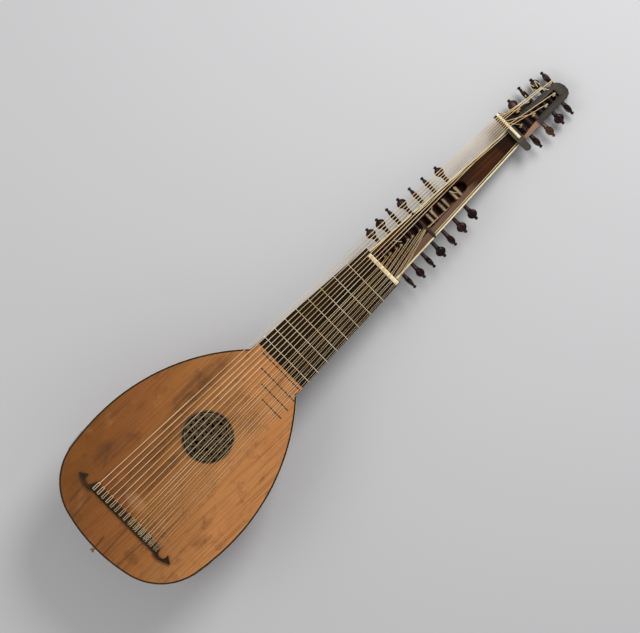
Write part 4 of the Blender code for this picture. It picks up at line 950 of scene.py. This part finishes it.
def body_fret(number):
    """A slip of dark wood on the soundboard, with its top rounded."""
    y, past = fret_y(number), LAST_FRET - number
    room = side_x(y) - BODY_FRET_MARGIN
    if y > NECK_JOINT:
        room = neck_half_width(y) - BODY_FRET_WIDTH
    bass = max(BODY_FRET_BASS_X - BODY_FRET_BASS_STEP * past, -room)
    treble = min(BODY_FRET_TREBLE_X - BODY_FRET_TREBLE_STEP * past, room)
    half, high = BODY_FRET_WIDTH / 2, BODY_FRET_HEIGHT
    arch = [(half * math.cos(a), high * math.sin(a)) for a in (math.pi * k / 8 for k in range(9))]
    return loft("body_fret", [[(x, y + across, up) for across, up in arch] for x in (bass, treble)])


def make_soundboard():
    end = FINGERBOARD_START - GAP
    points = outline(BINDING_WIDTH + GAP)
    points.append((neck_half_width(end), end))
    opening = circle(ROSE_Y, ROSE_RADIUS + GAP, 96)
    board = plate("soundboard_top", [both_sides(points), opening], BOARD_UNDER, 0.0)
    ease(
        piece("soundboard_top", board, FINISH["spruce"], replaces=["soundboard"]),
        0.0003,
    )
    beside = ROSE_RADIUS + BAR_FROM_ROSE
    places = (*LOWER_BARS, ROSE_Y - beside, ROSE_Y + beside, NECK_JOINT - BLOCK_LENGTH - BAR_FROM_BLOCK)
    bars = joined("soundboard_bars", [bar_mesh(y) for y in places])
    ease(piece("soundboard_bars", bars, FINISH["bare_spruce"]), 0.0004)
    for number in range(TIED_FRETS + 1, LAST_FRET + 1):
        piece(f"body_fret_{number}", body_fret(number), FINISH["binding"])


def make_binding():
    low = BOARD_UNDER + LIP_THICK + GAP
    band = rim_band("edge_binding_band", 0.0, BINDING_WIDTH, low, 0.0, -GAP)
    ease(
        piece("edge_binding_band", band, FINISH["binding"], replaces=["edge_binding"]),
        0.0005,
        3,
    )
    line = rim_band("rim_line", -RIM_LINE_OUT, 0.0, RIM_Z - 0.0012, BOARD_UNDER + 0.0004, -0.002)
    ease(piece("rim_line", line, FINISH["bone"]), 0.0002)


ROSE_LINE_STEP = 0.0126
ROSE_STRAP = 0.0027
ROSE_RIDGE = 0.00042
ROSE_RING = 0.00072
ROSE_TEETH = 48
ROSE_LEAST_HOLE = 6e-6


def polar(radius, degrees):
    turn = math.radians(degrees)
    return (radius * math.sin(turn), radius * math.cos(turn))


def cut_round(points, radius):
    """A convex outline about the origin, cut off at a radius."""
    for k in range(72):
        turn = 2 * math.pi * k / 72
        way = Vector((math.cos(turn), math.sin(turn)))
        kept = []
        for start, end in zip(points, points[1:] + points[:1]):
            first, last = way.dot(start) - radius, way.dot(end) - radius
            if first <= 0:
                kept.append(start)
            if (first < 0) != (last < 0):
                kept.append(start + (end - start) * (first / (first - last)))
        points = kept
        if len(points) < 3:
            return []
    return points


def area(points):
    turns = zip(points, points[1:] + points[:1])
    return abs(sum(a.x * b.y - b.x * a.y for a, b in turns)) / 2


def rose_openings():
    """Three-cornered openings between straps that cross in three directions, and the border's teeth."""
    side = 2 * ROSE_LINE_STEP / math.sqrt(3)
    right, up = Vector((side, 0.0)), Vector((side / 2, ROSE_LINE_STEP))
    shrink = 1 - 1.5 * ROSE_STRAP / ROSE_LINE_STEP
    holes = []
    for i in range(-10, 10):
        for j in range(-6, 6):
            corner = right * i + up * j
            for shape in ((corner, corner + right, corner + up), (corner + right, corner + right + up, corner + up)):
                middle = (shape[0] + shape[1] + shape[2]) / 3
                shape = cut_round([middle + (p - middle) * shrink for p in shape], ROSE_OPEN_RADIUS)
                if shape and area(shape) > ROSE_LEAST_HOLE:
                    holes.append([(p.x, ROSE_Y + p.y) for p in shape])
    for k in range(ROSE_TEETH):
        middle = 360 * k / ROSE_TEETH
        tooth = ((0.0431, middle), (0.0461, middle - 2.3), (0.0461, middle + 2.3))
        holes.append([(x, ROSE_Y + y) for x, y in (polar(*corner) for corner in tooth)])
    return holes


def rose_ridges():
    """Raised lines along the straps, and six rings and a small one that lace through them."""
    reach = ROSE_OPEN_RADIUS + 0.0006
    ridges = []
    for degrees in (0, 60, 120):
        along = Vector((math.cos(math.radians(degrees)), math.sin(math.radians(degrees))))
        aside = Vector((-along.y, along.x))
        for k in range(-3, 4):
            off = ROSE_LINE_STEP * k
            half = math.sqrt(reach**2 - off**2)
            ends = [aside * off - along * half, aside * off + along * half]
            for shift in (-ROSE_STRAP / 3, ROSE_STRAP / 3):
                line = [(p.x + aside.x * shift, ROSE_Y + p.y + aside.y * shift, 0.0) for p in ends]
                ridges.append(tube("ridge", line, ROSE_RIDGE, level=2))
    centres = [polar(reach / 2, 60 * k) for k in range(6)]
    rings = [(x, y, reach / 2) for x, y in centres] + [(0.0, 0.0, 0.0062), (0.0, 0.0, reach), (0.0, 0.0, 0.0466)]
    for x, y, radius in rings:
        turns = [2 * math.pi * k / 60 for k in range(60)]
        ring = [(x + radius * math.cos(a), ROSE_Y + y + radius * math.sin(a), 0.0) for a in turns]
        ridges.append(tube("ridge", ring, ROSE_RING, True, 2))
    return joined("rose_ridges", ridges)


def make_rose():
    low = BOARD_UNDER + LIP_THICK + GAP
    carving = plate("rose_carving", [circle(ROSE_Y, ROSE_RADIUS, 96), *rose_openings()], low, 0.0)
    ease(piece("rose_carving", carving, FINISH["rose"], replaces=["rose"]), 0.0002, 2)
    piece("rose_ridges", rose_ridges(), FINISH["ridge"])


# Bridge and end button


def scroll_outline(side):
    """The curled end of the bridge in plan: a horn whose tip turns back over a round eye."""
    end = BRIDGE_WIDTH / 2
    root = end - BRIDGE_END_OVERLAP
    tip = (end + SCROLL_REACH, SCROLL_TIP_Y)
    hook = (end + SCROLL_HOOK_OUT, SCROLL_HOOK_Y)
    points = [(root, -BRIDGE_LENGTH)]
    for k in range(1, 16):
        share = k / 16
        sag = SCROLL_SAG * math.sin(math.pi * share**0.6)
        y = -BRIDGE_LENGTH + (tip[1] + BRIDGE_LENGTH) * share**2 - sag
        points.append((root + (tip[0] - root) * share, y))
    points += [tip, hook]
    eye = (end + SCROLL_EYE_OUT, SCROLL_EYE_Y)
    first = math.atan2(hook[1] - eye[1], hook[0] - eye[0]) - 0.25
    for k in range(22):
        turn = first - (first + math.pi) * k / 21
        points.append((eye[0] + SCROLL_EYE * math.cos(turn), eye[1] + SCROLL_EYE * math.sin(turn)))
    points.append((root, SCROLL_EYE_Y + SCROLL_EYE * 0.6))
    return [(side * x, y) for x, y in points]


def make_bridge():
    half = BRIDGE_WIDTH / 2
    section = [
        (0.0, GAP),
        (0.0, BRIDGE_HEIGHT),
        (-BRIDGE_BLOCK, BRIDGE_HEIGHT),
        (-BRIDGE_BLOCK, BRIDGE_LEDGE_HEIGHT),
        (-BRIDGE_LENGTH, BRIDGE_LEDGE_HEIGHT - BRIDGE_EASE),
        (-BRIDGE_LENGTH, GAP),
    ]
    bar = loft("bridge_bar", [[(x, y, z) for y, z in section] for x in (-half, half)])
    ease(piece("bridge_bar", bar, FINISH["bridge"], replaces=["bridge"]), 0.0006, 3, 20)
    for side, label in ((-1, "bass"), (1, "treble")):
        horn = plate(f"bridge_scroll_{label}", [scroll_outline(side)], GAP, GAP + SCROLL_THICK)
        ease(piece(f"bridge_scroll_{label}", horn, FINISH["bridge"]), 0.0012, 4)


def make_button():
    face = TAIL_Y - GAP - CLASP_THICK - GAP
    profile = [(BUTTON_RADIUS * 0.62, -BUTTON_REACH)]
    for k in range(13):
        turn = math.pi * k / 12
        reach = BUTTON_RADIUS * (0.62 + 0.38 * math.sin(turn))
        profile.append((reach, -BUTTON_REACH * (0.98 - 0.52 * k / 12)))
    profile += [
        (BUTTON_RADIUS * 0.50, -BUTTON_REACH * 0.36),
        (BUTTON_RADIUS * 0.48, -BUTTON_REACH * 0.20),
        (BUTTON_RADIUS * 0.82, -BUTTON_REACH * 0.06),
        (BUTTON_RADIUS * 0.82, 0.0),
        (BUTTON_SHANK, 0.0),
        (BUTTON_SHANK * 0.8, BUTTON_IN),
    ]
    turned = lathe("end_button_turned", profile, 32, face, BUTTON_Z)
    piece("end_button_turned", turned, FINISH["brass"], replaces=["end_button"], smooth=40)


# Neck, fingerboard, tied frets and nuts


def make_neck():
    rings = [neck_ring(mix(NECK_JOINT + GAP, NECK_END, k / 12), 40) for k in range(13)]
    piece("neck_veneer", loft("neck_veneer", rings), FINISH["neck"], replaces=["neck"])
    corners = [(neck_half_width(y) - FINGERBOARD_INSET, y) for y in (FINGERBOARD_START, STRING_LENGTH - GAP)]
    board = plate("fingerboard_top", [corners + [(-x, y) for x, y in reversed(corners)]], BOARD_UNDER, 0.0)
    ease(
        piece("fingerboard_top", board, FINISH["fingerboard"], replaces=["fingerboard"]),
        0.0005,
        3,
    )
    for number in range(1, TIED_FRETS + 1):
        piece(f"tied_fret_{number}", fret_loop(number), FINISH["fret"], smooth=60)


def fret_loop(number):
    """A gut fret round the neck, with its knot and two cut ends at the bass edge."""
    y = fret_y(number)
    half = neck_half_width(y)
    top = GAP + FRET_RADIUS
    ring = [(x, y, z) for x, y, z in neck_ring(y, 30)]
    loop = tube("fret_loop", [(-half, y, top), (half, y, top), *ring], FRET_RADIUS, True)
    edge = -half - FRET_RADIUS * 0.4
    knot = []
    for k in range(17):
        turn = 2 * math.pi * k / 8
        shift = FRET_RADIUS * 1.6 * (k / 16 - 0.5)
        knot.append((edge + 1.6 * FRET_RADIUS * math.cos(turn), y + shift * 2, -0.0012 + 1.6 * FRET_RADIUS * math.sin(turn)))
    ends = [
        [(edge, y, -0.001), (edge - 0.0006, y + way * 0.0012, -0.0005), (edge - 0.0009, y + way * 0.0026, 0.0)]
        for way in (-1, 1)
    ]
    parts = [loop, tube("knot", knot, FRET_RADIUS * 0.8), *[tube("end", e, FRET_RADIUS * 0.8) for e in ends]]
    return joined("fret_loop", parts)


def nut_bar(name, bass_x, treble_x, start, length, low_z, high_z, replaced):
    """A nut whose top falls off roundly towards the front and back."""
    section = [(start, low_z)]
    for k in range(9):
        turn = math.pi * (1 - k / 8)
        along = start + length * (0.5 + 0.5 * math.cos(turn))
        section.append((along, high_z - length * 0.20 * (1 - math.sin(turn) ** 0.6)))
    section.append((start + length, low_z))
    mesh = loft(name, [[(x, y, z) for y, z in section] for x in (bass_x, treble_x)])
    ease(piece(name, mesh, FINISH["bone"], replaces=[replaced]), 0.0003, 2, 50)


def make_nuts():
    nut_bar("main_nut_bone", NUT_BASS_X, NUT_TREBLE_X, STRING_LENGTH, NUT_LENGTH, RIM_Z + GAP, NUT_TOP, "main_nut")
    low, high = NUT_BLOCK_TOP + GAP, NUT_BLOCK_TOP + HIGH_NUT_HEIGHT
    ends = (HIGH_NUT_BASS_X, HIGH_NUT_TREBLE_X)
    nut_bar("upper_nut_bone", *ends, HIGH_NUT_Y, HIGH_NUT_LENGTH, low, high, "upper_nut")


# Extension: the thin second line inside each edging strip

LINE_INBOARD = 0.0048
LINE_WIDTH = 0.0010


def make_inlay_lines():
    for side, label in ((-1, "bass"), (1, "treble")):
        rings = []
        for y in (CROSSBAR_Y + 0.004, NUT_BLOCK_START - GAP):
            x = extension_half_width(y) - LINE_INBOARD
            section = [(x, -0.0004), (x, 0.00012), (x - LINE_WIDTH, 0.00012), (x - LINE_WIDTH, -0.0004)]
            rings.append([(side * across, y, z) for across, z in section])
        piece(f"inlay_line_{label}", loft("inlay_line", rings), FINISH["bone"])


# Pegs

PALE_PEG = "upper_peg_treble_2"


def head_bass_x(y):
    return HEAD_BASS_X + HEAD_TAPER * (y - HEAD_START) / HEAD_LENGTH


def head_treble_x(y):
    return HEAD_TREBLE_X - HEAD_TAPER * (y - HEAD_START) / HEAD_LENGTH


def lower_pegs():
    pegs = []
    for k in range(LOWER_PEG_PAIRS):
        for side, label in ((1, "treble"), (-1, "bass")):
            y = LOWER_PEG_START + LOWER_PEG_PITCH * k + LOWER_PEG_SPREAD * k**2
            y += LOWER_PEG_STAGGER if side < 0 else 0.0
            wall = extension_half_width(y)
            pegs.append(
                {
                    "name": f"lower_peg_{label}_{k + 1}",
                    "side": side,
                    "y": y,
                    "z": LOWER_PEG_Z,
                    "wall_x": side * wall,
                    "shaft": 2 * wall + PEG_END,
                    "stem": LOWER_STEMS[label][k],
                    "roll": LOWER_ROLLS[label][k],
                }
            )
    return pegs


def upper_pegs():
    pegs = []
    for k in range(UPPER_PEGS):
        side, label = ((1, "treble"), (-1, "bass"))[k % 2]
        y = UPPER_PEG_START + UPPER_PEG_PITCH * k - UPPER_PEG_CLOSING * k**2
        pegs.append(
            {
                "name": f"upper_peg_{label}_{k // 2 + 1}",
                "side": side,
                "y": y,
                "z": UPPER_PEG_Z,
                "wall_x": head_treble_x(y) if side > 0 else head_bass_x(y),
                "shaft": head_treble_x(y) - head_bass_x(y) + PEG_END,
                "stem": UPPER_STEMS[label][k // 2],
                "roll": UPPER_ROLLS[label][k // 2],
            }
        )
    return pegs


LOWER_PEGS = lower_pegs()
UPPER_PEG_LIST = upper_pegs()


def shaft_radius(distance_in, stem):
    if distance_in < 0.0:
        return PEG_RADIUS + (PEG_STEM_RADIUS - PEG_RADIUS) * -distance_in / stem
    return PEG_RADIUS - PEG_TAPER * distance_in


def smooth_through(stations, steps):
    """Points on a smooth curve through the stations, each a tuple of numbers."""
    made = []
    for k in range(len(stations) - 1):
        before, start = stations[max(k - 1, 0)], stations[k]
        end, after = stations[k + 1], stations[min(k + 2, len(stations) - 1)]
        for s in range(steps):
            t = s / steps
            row = []
            for p0, p1, p2, p3 in zip(before, start, end, after):
                rise = (p2 - p0) * t + (2 * p0 - 5 * p1 + 4 * p2 - p3) * t**2
                row.append(p1 + 0.5 * (rise + (3 * p1 - p0 - 3 * p2 + p3) * t**3))
            made.append(tuple(row))
    made.append(stations[-1])
    return made


def peg_mesh(peg):
    """Tapered shaft, stem and collar, a flat heart-shaped head and a round button, along X."""
    stem = peg["stem"]
    head = stem + PEG_COLLAR_LENGTH
    tip = head + PEG_HEAD_LENGTH
    broad, thick = PEG_HEAD_BREADTH / 2, PEG_HEAD_THICK / 2
    end_radius = shaft_radius(peg["shaft"], stem)
    last = tip + PEG_BUTTON_LENGTH
    stations = [(-peg["shaft"], end_radius * 0.8, end_radius * 0.8), (-peg["shaft"] + 0.0006, end_radius, end_radius)]
    for k in range(1, 9):
        place = -peg["shaft"] * (1 - k / 8)
        radius = shaft_radius(-place, stem)
        stations.append((place, radius, radius))
    waist = mix(PEG_RADIUS, PEG_STEM_RADIUS, 0.4)
    stations += [
        (stem * 0.35, waist * 0.94, waist * 0.94),
        (stem * 0.80, waist, waist),
        (stem, PEG_STEM_RADIUS, PEG_STEM_RADIUS),
    ]
    for k in range(7):
        turn = math.pi * k / 6
        radius = PEG_STEM_RADIUS + (PEG_COLLAR_RADIUS - PEG_STEM_RADIUS) * math.sin(turn) ** 0.6
        stations.append((stem + PEG_COLLAR_LENGTH * (0.02 + 0.96 * k / 6), radius, radius))
    shaped = [
        (head, PEG_STEM_RADIUS * 0.92, PEG_STEM_RADIUS * 0.92),
        (head + PEG_HEAD_LENGTH * 0.18, broad * 0.80, thick),
        (head + PEG_HEAD_LENGTH * 0.46, broad, thick * 0.88),
        (head + PEG_HEAD_LENGTH * 0.76, broad * 0.82, thick * 0.66),
        (tip, PEG_BUTTON_RADIUS * 0.75, thick * 0.40),
    ]
    stations += smooth_through(shaped, 5)
    for k in range(1, 10):
        turn = math.pi * k / 9
        radius = PEG_BUTTON_RADIUS * max(math.sin(mix(0.35, math.pi, k / 9)), 0.16)
        stations.append((mix(tip, last, 0.5 - 0.5 * math.cos(turn)), radius, radius))
    turns = [2 * math.pi * (k + 0.5) / PEG_FACETS for k in range(PEG_FACETS)]
    rings = [[(x, wide * math.cos(a), deep * math.sin(a)) for a in turns] for x, wide, deep in stations]
    return loft(peg["name"], rings)


def make_pegs():
    for peg in LOWER_PEGS + UPPER_PEG_LIST:
        mesh = peg_mesh(peg)
        turned = Euler((math.radians(peg["roll"]), 0.0, 0.0 if peg["side"] > 0 else math.pi)).to_matrix().to_4x4()
        mesh.transform(Matrix.Translation((peg["wall_x"], peg["y"], peg["z"])) @ turned)
        name = peg["name"]
        finish = FINISH["plum" if name == PALE_PEG else "peg"]
        piece(f"{name}_turned", mesh, finish, body=name, replaces=[name], smooth=50)


# Strings

LONG_WINDING = 0.0200
LONG_WINDING_X = 0.0095
LONG_WINDING_SPACE = 0.0003

# Free ends: radius, and the places that each passes
FREE_ENDS = (
    (0.00075, "lute", ((-0.0355, 1.0301, 0.0044), (-0.0470, 1.0335, 0.0062), (-0.0588, 1.0373, 0.0050))),
    (0.00062, "upper_peg_bass_3", ((-0.0337, 1.0463, 0.0030), (-0.0462, 1.0498, 0.0060), (-0.0354, 1.0534, 0.0036))),
    (0.00062, "upper_peg_bass_3", ((-0.0336, 1.0570, 0.0040), (-0.0453, 1.0606, 0.0066), (-0.0336, 1.0633, 0.0040))),
    (0.00062, "lute", ((-0.0265, 1.0588, 0.0060), (-0.0212, 1.0641, 0.0080), (-0.0158, 1.0677, 0.0056))),
    (0.00045, "lute", ((-0.0178, 0.6811, -0.0012), (-0.0120, 0.6850, 0.0010), (-0.0062, 0.6900, -0.0010))),
    (0.00040, "lute", ((-0.0042, 0.7634, -0.0040), (-0.0090, 0.7680, -0.0018), (-0.0131, 0.7724, -0.0030))),
    (0.00040, "lute", ((-0.0112, 0.8135, -0.0036), (-0.0045, 0.8180, -0.0010), (0.0014, 0.8225, -0.0030))),
)


def strings():
    made = []
    for k in range(DIAPASONS):
        made.append(
            {
                "name": f"diapason_{k + 1}",
                "radius": mix(*DIAPASON_RADII, k / (DIAPASONS - 1)),
                "bridge_x": BRIDGE_BASS_X + BRIDGE_DIAPASON_PITCH * k,
                "nut": "upper",
                "nut_x": HIGH_NUT_STRING_X + HIGH_NUT_STRING_PITCH * k,
                "peg": UPPER_PEG_LIST[DIAPASON_PEGS[k]],
                "winding_x": DIAPASON_WINDINGS[k],
            }
        )
    for k in range(2 * COURSES):
        course, second = divmod(k, 2)
        lean = second - 0.5
        made.append(
            {
                "name": f"course_{COURSES - course}_string_{second + 1}",
                "radius": mix(*COURSE_RADII, course / (COURSES - 1)),
                "bridge_x": BRIDGE_COURSE_X + BRIDGE_COURSE_PITCH * course + BRIDGE_PAIR_GAP * lean,
                "nut": "main",
                "nut_x": NUT_COURSE_X + NUT_COURSE_PITCH * course + NUT_PAIR_GAP * lean,
                "peg": LOWER_PEGS[k],
                "winding_x": STOPPED_WINDINGS[k],
            }
        )
    return made


def bridge_tie(string):
    """The knot: through the bar, back over it, under the string and over it again."""
    x, radius = string["bridge_x"], string["radius"]
    step = 2 * radius + LOOP_SPACE
    low = STRING_HOLE_HEIGHT
    over = BRIDGE_HEIGHT + GAP + radius
    back = -BRIDGE_BLOCK - GAP - radius
    front = 2 * GAP + radius
    tail = -BRIDGE_BLOCK + BRIDGE_EASE if string["nut"] == "main" else back
    return [
        (x - step, tail, over),
        (x - step, front - radius, over),
        (x - step, front + radius, low - step * 0.5),
        (x, front + radius * 2, low - step * 1.2),
        (x + step, front + radius, low - step * 0.5),
        (x + step, front - radius, over),
        (x + step, -BRIDGE_BLOCK + BRIDGE_EASE, over),
        (x + step * 0.9, back, over - BRIDGE_EASE),
        (x, back - radius, low),
        (x, 0.0, low),
    ]


def winding(string):
    """Turns round the peg's shaft, clear of it, from where the string first meets it."""
    peg, radius = string["peg"], string["radius"]
    pitch = 2 * radius + WINDING_SPACE
    lead = pitch if string["nut"] == "upper" else -pitch
    count, start = WINDING_TURNS, string["winding_x"]
    if string["nut"] == "main" and peg["y"] > CROSSBAR_Y:
        lead = -(2 * radius + LONG_WINDING_SPACE)
        count, start = int(LONG_WINDING / -lead), LONG_WINDING_X
    points = []
    for k in range(count * WINDING_POINTS + 1):
        turn = 2 * math.pi * k / WINDING_POINTS
        x = start + lead * k / WINDING_POINTS
        inside = (peg["wall_x"] - x) * peg["side"]
        reach = shaft_radius(inside - radius, peg["stem"]) + TURN_CLEARANCE + radius
        points.append((x, peg["y"] + reach * math.sin(turn), peg["z"] + reach * math.cos(turn)))
    return points


def rounded(points, reach, steps=4):
    """The same route with each corner turned into a short curve."""
    made = [Vector(points[0])]
    for before, corner, after in zip(points, points[1:], points[2:]):
        before, corner, after = Vector(before), Vector(corner), Vector(after)
        first = corner + (before - corner) * min(reach / (before - corner).length, 0.45)
        last = corner + (after - corner) * min(reach / (after - corner).length, 0.45)
        for k in range(steps + 1):
            t = k / steps
            made.append(first * (1 - t) ** 2 + corner * (2 * t * (1 - t)) + last * t**2)
    made.append(Vector(points[-1]))
    return made


def string_route(string):
    radius = string["radius"]
    route = bridge_tie(string)
    if string["nut"] == "main":
        route.append((string["nut_x"], STRING_LENGTH + NUT_LENGTH, NUT_TOP + STRING_SEAT + radius))
    else:
        height = NUT_BLOCK_TOP + HIGH_NUT_HEIGHT + STRING_SEAT + radius
        route.append((string["nut_x"], HIGH_NUT_Y + HIGH_NUT_LENGTH, height))
    if string["nut"] == "main" and string["peg"]["y"] > CROSSBAR_Y:
        route.append((string["winding_x"] + CROSSBAR_LEAN, CROSSBAR_Y, -radius - 0.0001))
        route.append((LONG_WINDING_X, string["peg"]["y"] - 0.010, string["peg"]["z"] + PEG_RADIUS + 0.0016))
    turns = winding(string)
    return [*rounded([*route, turns[0]], 0.0012), *turns[1:]]


def make_idle_windings():
    """The two last pegs of the lower pegbox carry turns of an old string and no more."""
    for peg in LOWER_PEGS[2 * COURSES :]:
        radius = COURSE_RADII[0]
        count = int(LONG_WINDING / (2 * radius + LONG_WINDING_SPACE))
        points = []
        for k in range(count * WINDING_POINTS + 1):
            turn = 2 * math.pi * k / WINDING_POINTS
            x = LONG_WINDING_X - LONG_WINDING * k / (count * WINDING_POINTS)
            reach = shaft_radius((peg["wall_x"] - x) * peg["side"], peg["stem"]) + radius
            points.append((x, peg["y"] + reach * math.sin(turn), peg["z"] + reach * math.cos(turn)))
        mesh = tube("old_winding", points, radius, level=2)
        piece(f"{peg['name']}_winding", mesh, FINISH["gut"], body=peg["name"], smooth=60)


def make_free_ends():
    """Free ends of strings that stand out at their pegs."""
    for number, (radius, body, places) in enumerate(FREE_ENDS, 1):
        points = [point[:3] for point in smooth_through(places, 6)]
        mesh = tube("string_end", points, radius)
        piece(f"string_end_{number}", mesh, FINISH["gut"], body=body, smooth=60)


def make_strings():
    for string in strings():
        name = string["name"]
        mesh = tube(f"{name}_gut", string_route(string), string["radius"])
        piece(f"{name}_gut", mesh, FINISH["gut"], replaces=[name], smooth=60)


# Floor, lights and camera

VIEW_TURN = math.radians(44.45)
VIEW_CENTRE = Vector((-0.0131, 0.4917, 0.0))
VIEW_DISTANCE = 6.0
VIEW_WIDTH = 1.1456
SENSOR = 36.0
RIGHT = Vector((math.sin(VIEW_TURN), math.cos(VIEW_TURN), 0.0))
UP = Vector((-math.cos(VIEW_TURN), math.sin(VIEW_TURN), 0.0))
OUT = Vector((0.0, 0.0, 1.0))
WORLD_LEVEL = 0.45
FLOOR_SIZE = 30.0


def make_floor():
    bm = bmesh.new()
    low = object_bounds()[0].z - 0.0002
    corners = ((-1, -1), (1, -1), (1, 1), (-1, 1))
    bm.faces.new([bm.verts.new((x * FLOOR_SIZE / 2, y * FLOOR_SIZE / 2, low)) for x, y in corners])
    mesh = bpy.data.meshes.new("floor")
    bm.to_mesh(mesh)
    bm.free()
    floor = bpy.data.objects.new("floor", mesh)
    bpy.context.scene.collection.objects.link(floor)
    paint = bpy.data.materials.new("floor_paint")
    paint.use_nodes = True
    shader = paint.node_tree.nodes["Principled BSDF"]
    shader.inputs["Base Color"].default_value = (0.60, 0.60, 0.61, 1.0)
    shader.inputs["Roughness"].default_value = 0.9
    mesh.materials.append(paint)
    floor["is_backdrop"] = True


def view_point(right, up, out):
    """A place given as the camera sees it, from the middle of the view."""
    return LAY @ (VIEW_CENTRE + RIGHT * right + UP * up + OUT * out)


def lamp(name, place, target, size, power):
    data = bpy.data.lights.new(name, "AREA")
    data.shape = "DISK"
    data.size = size
    data.energy = power
    thing = bpy.data.objects.new(name, data)
    bpy.context.scene.collection.objects.link(thing)
    thing.location = view_point(*place)
    aim = view_point(*target) - thing.location
    thing.rotation_euler = aim.to_track_quat("-Z", "Y").to_euler()


def make_lights():
    world = bpy.data.worlds.new("studio")
    bpy.context.scene.world = world
    world.use_nodes = True
    background = world.node_tree.nodes["Background"]
    background.inputs["Color"].default_value = (1.0, 1.0, 1.0, 1.0)
    background.inputs["Strength"].default_value = WORLD_LEVEL
    lamp("key", (0.9, 1.6, 2.2), (0.0, -0.1, 0.0), 1.2, 54.0)
    lamp("fill", (-2.0, -0.6, 1.8), (0.0, 0.0, 0.0), 1.8, 12.0)


def make_camera():
    data = bpy.data.cameras.new("camera")
    data.sensor_width = SENSOR
    data.lens = SENSOR * VIEW_DISTANCE / VIEW_WIDTH
    data.clip_end = 100.0
    camera = bpy.data.objects.new("camera", data)
    bpy.context.scene.collection.objects.link(camera)
    turn = Matrix((RIGHT, UP, OUT)).transposed().to_4x4()
    camera.matrix_world = LAY @ Matrix.Translation(VIEW_CENTRE + OUT * VIEW_DISTANCE) @ turn
    bpy.context.scene.camera = camera


def main():
    make_camera()
    make_bowl()
    make_clasp()
    make_soundboard()
    make_binding()
    make_rose()
    make_bridge()
    make_button()
    make_neck()
    make_nuts()
    make_inlay_lines()
    make_pegs()
    make_strings()
    make_idle_windings()
    make_free_ends()
    repaint(FINISH["extension"], "extension")
    repaint(FINISH["head"], "upper_pegbox")
    repaint(FINISH["block"], "neck_block")
    repaint(FINISH["iron"], "neck_nail")
    repaint(FINISH["bone"], "edging_bass", "edging_treble")
    repaint(FINISH["binding"], "pegbox_crossbar")
    make_floor()
    make_lights()
    bpy.context.scene.view_settings.view_transform = "Standard"


main()
